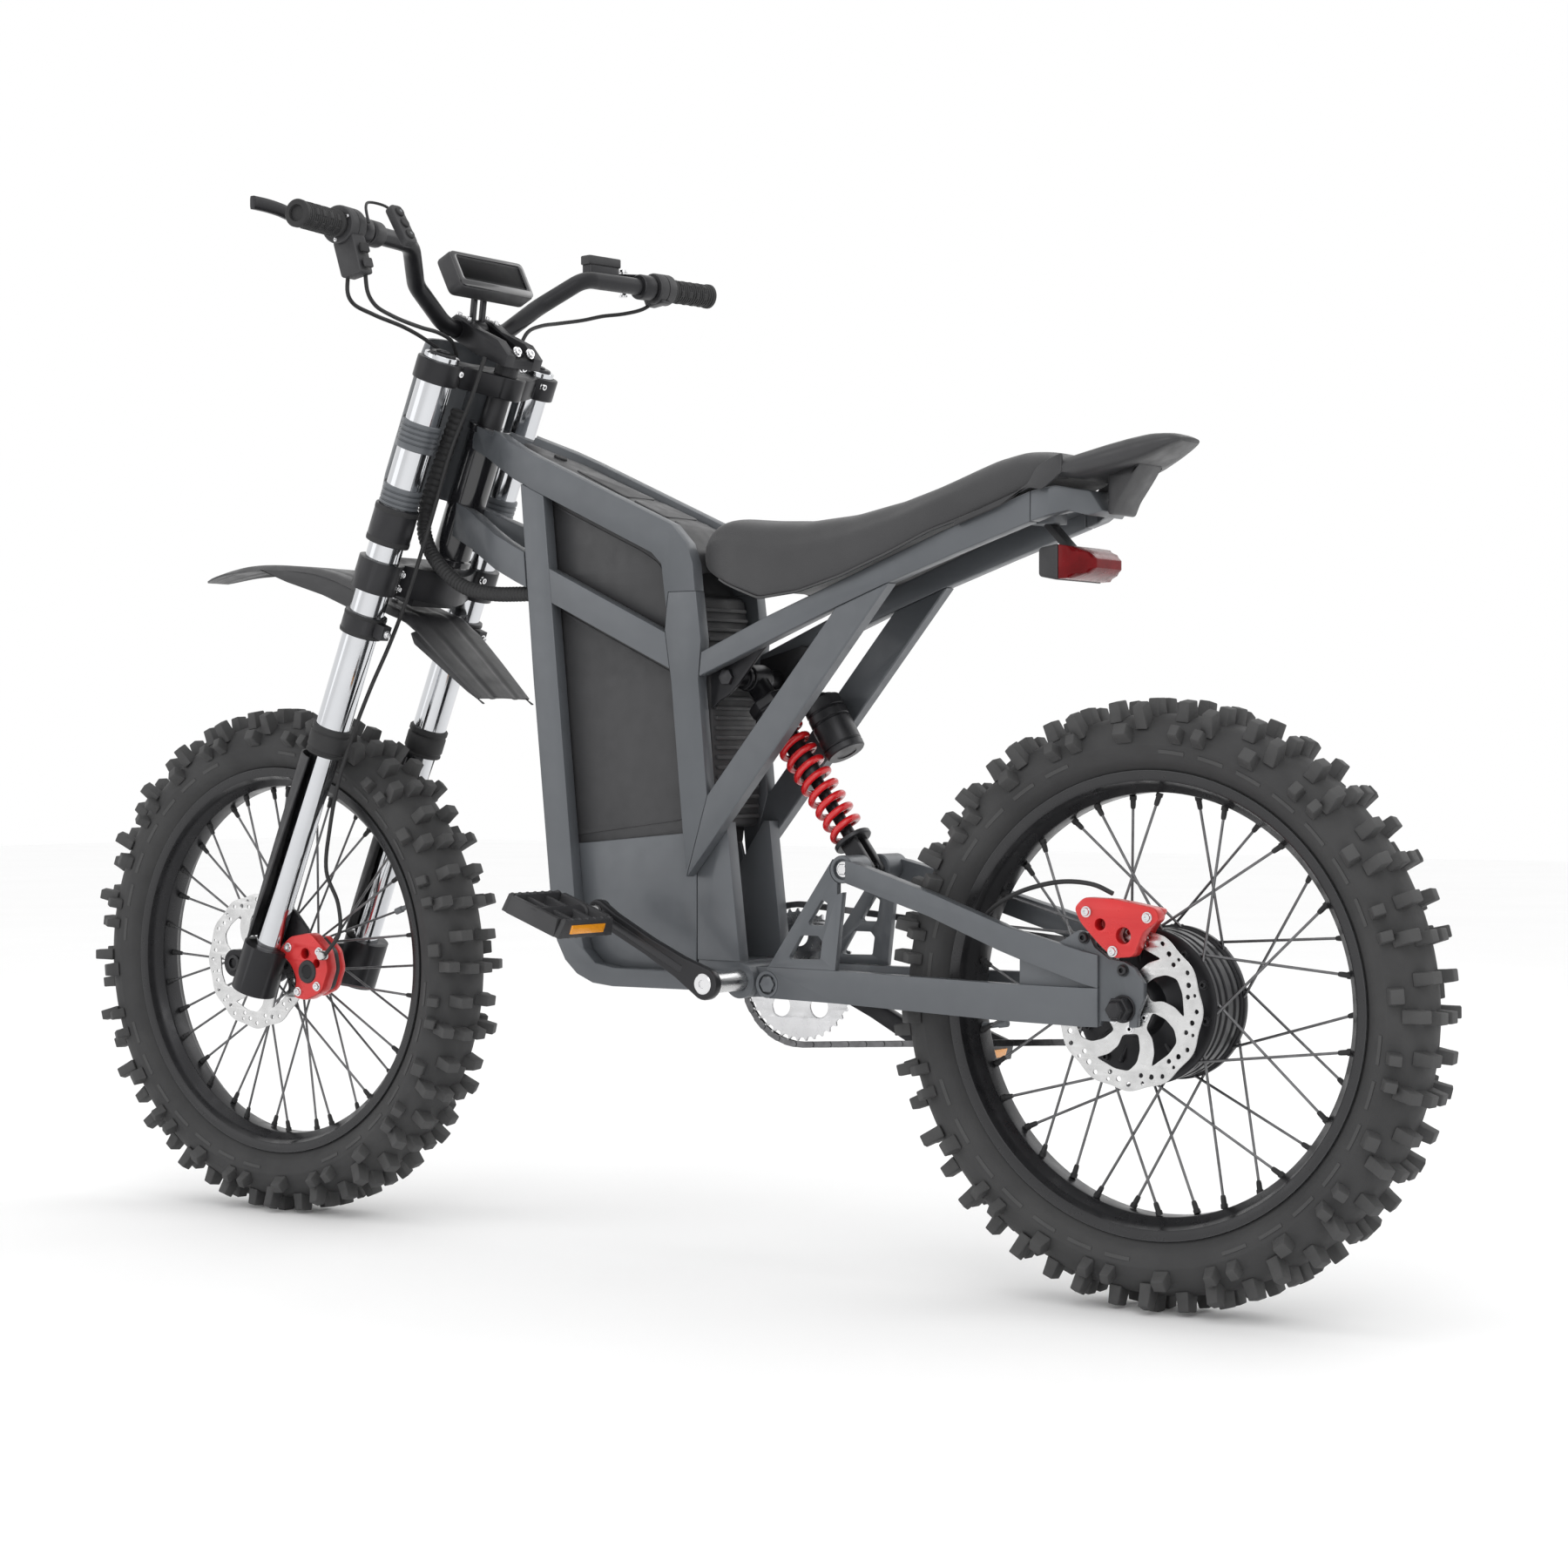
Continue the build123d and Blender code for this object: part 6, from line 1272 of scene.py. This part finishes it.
for s in (1, -1):
    plate("tail_strap_" + ("left" if s > 0 else "right"), [round_poly([(-431, 852.5), (-490, 872), (-524, 892), (-534, 908), (-552, 918), (-566, 922.5), (-566, 903), (-556, 894), (-541, 884), (-526, 886.5), (-500, 877.5), (-450, 860)], 3, 3)],
          5, (0, s * 75.5, 0), XA, ZA, "fender", "chassis", edge=1.8, smooth=40)

# lower fairing behind the tail of the frame
side_shell("tail_fairing", [(-594, 902), (-634, 912), (-622, 894), (-606, 872), (-600, 858), (-593.5, 858)], 27, "fender", "chassis", 4, 3.0)
# tail lamp: black shell, faceted lens
side_shell("tail_lamp_shell", [(-520.5, 792.5), (-545, 787.5), (-545, 827.5), (-520.5, 823.5)], 49.5, "black_plastic", "chassis", 4, 2.5, replaces="tail_light")
vv, ff = box_vf(20, 8, 40)
pl2 = Pile().add(vv, ff, frame_mtx((-520.5, 0, 838.5), (-0.69, 0, -0.72), YA))
piece("tail_lamp_stem", pl2.v, pl2.f, "black_plastic", "chassis", smooth=34, bevel=1.5)
lens = []
us = np.linspace(-49, 49, 29)
vv, ff = [], []
prof = [(-545.2, 789), (-556, 789.5), (-572, 795), (-581, 801), (-581, 811), (-572, 818), (-556, 824.5), (-545.2, 826.5)]
for y in us:
    lim = -581.5 + max(0.0, abs(y) - 28) * 25.5 / 22
    wob = 0.0
    for x, z in prof:
        xx = max(x, lim)
        vv.append((xx, y, z))
m_ = len(prof)
for i in range(len(us) - 1):
    for k in range(m_ - 1):
        ff.append((i * m_ + k, i * m_ + k + 1, (i + 1) * m_ + k + 1, (i + 1) * m_ + k))
    ff.append((i * m_ + m_ - 1, i * m_, (i + 1) * m_, (i + 1) * m_ + m_ - 1))
ff.append(tuple(range(m_)))
ff.append(tuple((len(us) - 1) * m_ + k for k in range(m_ - 1, -1, -1)))
piece("tail_lamp_lens", vv, ff, "lens", "chassis", smooth=24, replaces="tail_lens", bevel=0.9)

# ------------------------------------------------------------- front fender
FT = [(784, 831), (735, 841), (677, 847), (608, 845), (540, 836), (480, 815), (445, 795.5), (418, 783.5), (395, 775), (370, 754), (279, 671)]
FH = [(786, 17), (770, 26), (740, 34), (700, 44), (650, 50), (600, 53), (540, 56), (480, 58), (430, 59), (390, 59.5), (330, 55), (274, 48)]
line = [(p.x, p.z) for p in smooth_path([(a, 0, b) for a, b in FT], 7)]
vv, ff = [], []
cols = np.linspace(-1, 1, 33)
L0 = len(line)
for i, (x, z) in enumerate(line):
    a, b = line[max(0, i - 1)], line[min(L0 - 1, i + 1)]
    t = Vector((b[0] - a[0], b[1] - a[1])).normalized()
    nx, nz = -t.y, t.x
    if nz < 0:
        nx, nz = -nx, -nz
    hw = soft_interp(FH, x, 6)
    flap = min(1.0, max(0.0, (395 - x) / 25))
    for c in cols:
        y = c * hw
        ac = abs(c)
        # raised centre land, a groove each side, then a turned-down edge
        h = 0.0
        h -= 1.5 * (1 / (1 + math.exp(-(ac - 0.36) / 0.02)))
        h += 1.3 * (1 / (1 + math.exp(-(ac - 0.52) / 0.02)))
        h -= (0.6 + 6.5 * min(1, (784 - x) / 120) * (1 - flap)) * max(0, (ac - 0.80) / 0.20) ** 2
        h += flap * -1.2 * ac
        h *= min(1.0, max(0.0, (786 - x) / 70))
        vv.append((x + nx * h, y, z + nz * h))
n = len(cols)
for i in range(L0 - 1):
    for j in range(n - 1):
        k = i * n + j
        ff.append((k, k + 1, k + n + 1, k + n))
piece("mudguard_shell", vv, ff, "fender", "steering", smooth=45, solid=2.6, replaces="front_fender")
# side lips
for s in (1, -1):
    nm = "left" if s > 0 else "right"
    plate("mudguard_lip_" + nm, [round_poly([(655, 841), (608, 838), (540, 829), (480, 808), (447, 791), (470, 786.5), (499, 787.5), (541, 804), (606, 823)], 3, 3)], 3, (0, s * 51.5, 0), XA, ZA, "fender", "steering", edge=1.0, smooth=40)
    plate("flap_lip_" + nm, [round_poly([(379, 756), (282, 668), (272.5, 661), (300, 677), (388, 738), (394, 752)], 2, 3)], 3, (0, s * 47.0, 0), XA, ZA, "fender", "steering", edge=0.9, smooth=40)
bolts("mudguard_bolts", [(Vector((446, 20 * s, 797.4)), Vector((-0.42, 0, 0.9))) for s in (1, -1)] + [(Vector((484, 20 * s, 817.2)), Vector((-0.38, 0, 0.92))) for s in (1, -1)], "bolt", "steering", 7, 2.6, "socket")

# ----------------------------------------------------------------- headlight
# mask: curved shield with a recessed step round the lamp opening; straps wrap the upper tubes
vv, ff = [], []
ss = np.linspace(-2, 202, 40)
cols = np.linspace(-1, 1, 37)
for s in ss:
    t = (s + 2) / 204
    for c in cols:
        a = c * math.radians(84)
        y = 69.5 * math.sin(a) / math.sin(math.radians(84))
        top_r = 1.0 - 0.10 * max(0, 0.12 - t) / 0.12 - 0.10 * max(0, t - 0.88) / 0.12
        ah = 35 + 48.5 * (max(0.0, math.cos(a)) ** 0.8) * top_r
        # step round the lamp opening
        if 0.22 < t < 0.70 and abs(c) < 0.56:
            ah -= 5.0 * min(1, (0.56 - abs(c)) / 0.05) * min(1, (t - 0.22) / 0.03) * min(1, (0.70 - t) / 0.03)
        vv.append(tuple(leg(s, ah, y)))
n = len(cols)
for i in range(len(ss) - 1):
    for j in range(n - 1):
        k = i * n + j
        ff.append((k, k + 1, k + n + 1, k + n))
piece("lamp_mask", vv, ff, "frame", "steering", smooth=40, solid=3.0, replaces="headlight")
# strap rings round the upper tubes, with their ears
pile = Pile()
lug = Pile()
for y in (91, -91):
    sgn = 1 if y > 0 else -1
    mt = frame_mtx(leg(0, 0, y), DOWN)
    for s0, s1 in ((90, 125), (174, 199)):
        pr = [(s0, 22.1), (s0, 24.2), (s0 + 1.2, 25)]
        k = s0 + 5
        while k < s1 - 4:
            pr += [(k, 25), (k + 0.6, 24.0), (k + 2.0, 24.0), (k + 2.6, 25)]
            k += 6.5
        pr += [(s1 - 1.2, 25), (s1, 24.2), (s1, 22.1)]
        v, f = lathe_vf(pr, 56, True)
        pile.add(v, f, mt)
        vv, ff = box_vf(18, 20, s1 - s0 - 2)
        lug.add(vv, ff, frame_mtx(leg((s0 + s1) / 2, 31, y - sgn * 16), DOWN, AHEAD))
piece("lamp_strap_rings", pile.v, pile.f, "frame", "steering", smooth=32)
piece("lamp_strap_ears", lug.v, lug.f, "black_plastic", "steering", smooth=34, bevel=2.0, seg=3)

# ------------------------------------------------- crank, chainring, pedals
CA = math.radians(26.6)
CU = Vector((math.cos(CA), 0, math.sin(CA)))
BBV = Vector((-119, 0, 336))
for s, nm in ((1, "left"), (-1, "right")):
    p = BBV + CU * (175 * s)
    d = CU * s
    out = []
    nn = Vector((-d.z, 0, d.x))

    def uv(a, b):
        q = BBV + d * a + nn * b
        return (q.x, q.z)

    pts = []
    for k in range(13):
        t = math.pi / 2 + math.pi * k / 12
        pts.append(uv(18.8 * math.cos(t), 18.8 * math.sin(t)))
    pts += [uv(40, -13.2), uv(90, -10.8), uv(150, -11.5)]
    for k in range(13):
        t = -math.pi / 2 + math.pi * k / 12
        pts.append(uv(175 + 14.4 * math.cos(t), 14.4 * math.sin(t)))
    pts += [uv(150, 11.5), uv(90, 10.8), uv(40, 13.2)]
    plate("crank_arm_" + nm, [pts], 12, (0, 115 * s, 0), XA, ZA, "black_metal", "crank", edge=2.6, smooth=40, replaces="crankset" if s > 0 else None)
    # raised spine and dust cap
    q0, q1 = BBV + d * 32, BBV + d * 152
    v, f = box_vf(120, 9, 2.2, 0.9)
    pile = Pile().add(v, f, frame_mtx((q0 + q1) / 2 + Vector((0, 121.2 * s, 0)), (0, s, 0), d))
    piece("crank_spine_" + nm, pile.v, pile.f, "black_metal", "crank", smooth=34, bevel=0.8)
    lathe("crank_cap_" + nm, [(120.5, 12), (122.0, 12), (122.9, 10.8), (122.9, 5), (121.4, 4.4), (121.4, 0)], BBV, (0, s, 0), "bolt", "crank", 32, smooth=32)
    lathe("crank_eye_" + nm, [(108.9, 14.2), (107.6, 12), (107.6, 0)], p, (0, s, 0), "bolt", "crank", 32, smooth=32)
lathe("spindle", [(-110, 11.9), (110, 11.9)], BBV, YA, "steel", "crank", 40)
holes = [circle(BBV.x + 47 * math.cos(a), BBV.z + 47 * math.sin(a), 13, 24) for a in np.linspace(0.3, 0.3 + 2 * math.pi, 5, endpoint=False)]
tt = [(BBV.x + a, BBV.z + b) for a, b in teeth(75.5, 79.4, 41)]
plate("ring_teeth", [tt, circle(BBV.x, BBV.z, 12.2, 28)] + holes, 3.4, (0, -74, 0), XA, ZA, "alloy", "crank", edge=0.7, smooth=30, replaces="chainring")
lathe("ring_carrier", [(75.9, 12.1), (75.9, 25), (77, 26), (79, 25.4), (79.6, 20), (79.6, 12.1)], BBV, (0, -1, 0), "black_metal", "crank", 40, closed=True, smooth=32)

TP = math.radians(20)
E_, N_ = Vector((math.cos(TP), 0, math.sin(TP))), Vector((-math.sin(TP), 0, math.cos(TP)))
for s, nm in ((1, "left"), (-1, "right")):
    c = BBV + CU * (175 * s)
    body = nm + "_pedal_body"

    def at(a, y, b):
        return c + E_ * a + N_ * b + Vector((0, y * s, 0))

    pile = Pile()
    # end plates, side rails, centre barrel, with tread teeth
    for a0 in (-41, 41):
        v, f = box_vf(8, 98, 21, 0.9)
        pile.add(v, f, frame_mtx(at(a0, 189, 0), N_, E_))
    for y0 in (144, 234):
        v, f = box_vf(76, 8, 22, 0.94)
        pile.add(v, f, frame_mtx(at(0, y0, 0), N_, E_))
    for y0 in (172, 206):
        v, f = box_vf(76, 6, 16)
        pile.add(v, f, frame_mtx(at(0, y0, 0), N_, E_))
    v, f = lathe_vf([(140, 6.7), (140, 10.5), (142, 11.5), (150, 11.5), (152, 9.4), (226, 9.4), (228, 11.5), (236.5, 11.5), (237.8, 10), (237.8, 0)], 32)
    pile.add(v, f, frame_mtx(c, (0, s, 0)))
    for a0 in (-41, 41):
        for k in range(7):
            for top_s in (1, -1):
                v, f = box_vf(6.5, 5.5, 2.6, 0.7)
                pile.add(v, f, frame_mtx(at(a0, 148 + k * 13.6, 10.6 * top_s), N_ * top_s, E_))
    piece("pedal_cage_" + nm, pile.v, pile.f, "black_plastic", body, smooth=34, bevel=0.9, replaces=nm + "_pedal")
    pile = Pile()
    for a0 in (-45.6, 45.6):
        v, f = box_vf(62, 11, 1.6, 0.95)
        pile.add(v, f, frame_mtx(at(a0, 189, 0), E_ * (1 if a0 > 0 else -1), YA))
    piece("pedal_reflectors_" + nm, pile.v, pile.f, "amber", body, smooth=34, bevel=0.5)
    lathe("pedal_axle_" + nm, [(108.5, 6.4), (122, 6.4), (122, 9), (126, 9), (126, 7.4), (140, 6.6)], c, (0, s, 0), "steel", body, 28, smooth=32)

# -------------------------------------------------------------------- chain
RAD0, RAD1 = 84.0, 46.0
C0, C1c = Vector((BBV.x, BBV.z)), Vector((BX, AZ))
dv = C1c - C0
D = dv.length
ang = math.atan2(dv.y, dv.x)
al = math.acos((RAD0 - RAD1) / D)
pathc = []
n_arc0, n_arc1 = 60, 40


def pt(c, r, a):
    return Vector((c.x + r * math.cos(a), c.y + r * math.sin(a)))


for k in range(n_arc0 + 1):
    a = ang + al + (2 * math.pi - 2 * al) * k / n_arc0
    pathc.append(pt(C0, RAD0, a))
for k in range(n_arc1 + 1):
    a = ang - al + (2 * al) * k / n_arc1
    pathc.append(pt(C1c, RAD1, a))
lens_ = [0.0]
loop = pathc + [pathc[0]]
for a, b in zip(loop, loop[1:]):
    lens_.append(lens_[-1] + (b - a).length)
total = lens_[-1]
count = int(round(total / 12.7 / 2) * 2)


def along(s):
    s %= total
    for i in range(len(loop) - 1):
        if lens_[i + 1] >= s:
            k = (s - lens_[i]) / max(1e-9, lens_[i + 1] - lens_[i])
            return loop[i].lerp(loop[i + 1], k)
    return loop[-1]


links, rollers = Pile(), Pile()
pp = [along(total * i / count) for i in range(count)]
for i in range(count):
    a, b = pp[i], pp[(i + 1) % count]
    mid = (a + b) / 2
    d = Vector((b.x - a.x, 0, b.y - a.y)).normalized()
    off = 2.9 if i % 2 else 1.9
    half = (b - a).length / 2
    for s in (1, -1):
        ring, m2 = [], 6
        for e, cx in ((1, half), (-1, -half)):
            for k in range(m2 + 1):
                t = -math.pi / 2 + math.pi * k / m2
                ring.append((cx + e * 3.6 * math.cos(t), e * 3.6 * math.sin(t)))
        v = [(u, w, -0.35) for u, w in ring] + [(u, w, 0.35) for u, w in ring]
        q = len(ring)
        f = [tuple(range(q - 1, -1, -1)), tuple(range(q, 2 * q))] + [(k, (k + 1) % q, q + (k + 1) % q, q + k) for k in range(q)]
        links.add(v, f, frame_mtx((mid.x, -74 + off * s * 0.98, mid.y), (0, 1, 0), d))
    v, f = lathe_vf([(-3.1, 0), (-3.1, 1.7), (3.1, 1.7), (3.1, 0)], 10)
    rollers.add(v, f, frame_mtx((a.x, -74, a.y), YA))
    v, f = lathe_vf([(-1.5, 3.3), (1.5, 3.3)], 12)
    rollers.add(v, f, frame_mtx((a.x, -74, a.y), YA))
bl = ("chassis", "swingarm", (BBV.x * K, 0, BBV.z * K), (BX * K, 0, AZ * K))
piece("chain_links", links.v, links.f, "chain", "swingarm", smooth=34, replaces="chain", blend=bl)
piece("chain_rollers", rollers.v, rollers.f, "steel", "swingarm", smooth=34, blend=bl)
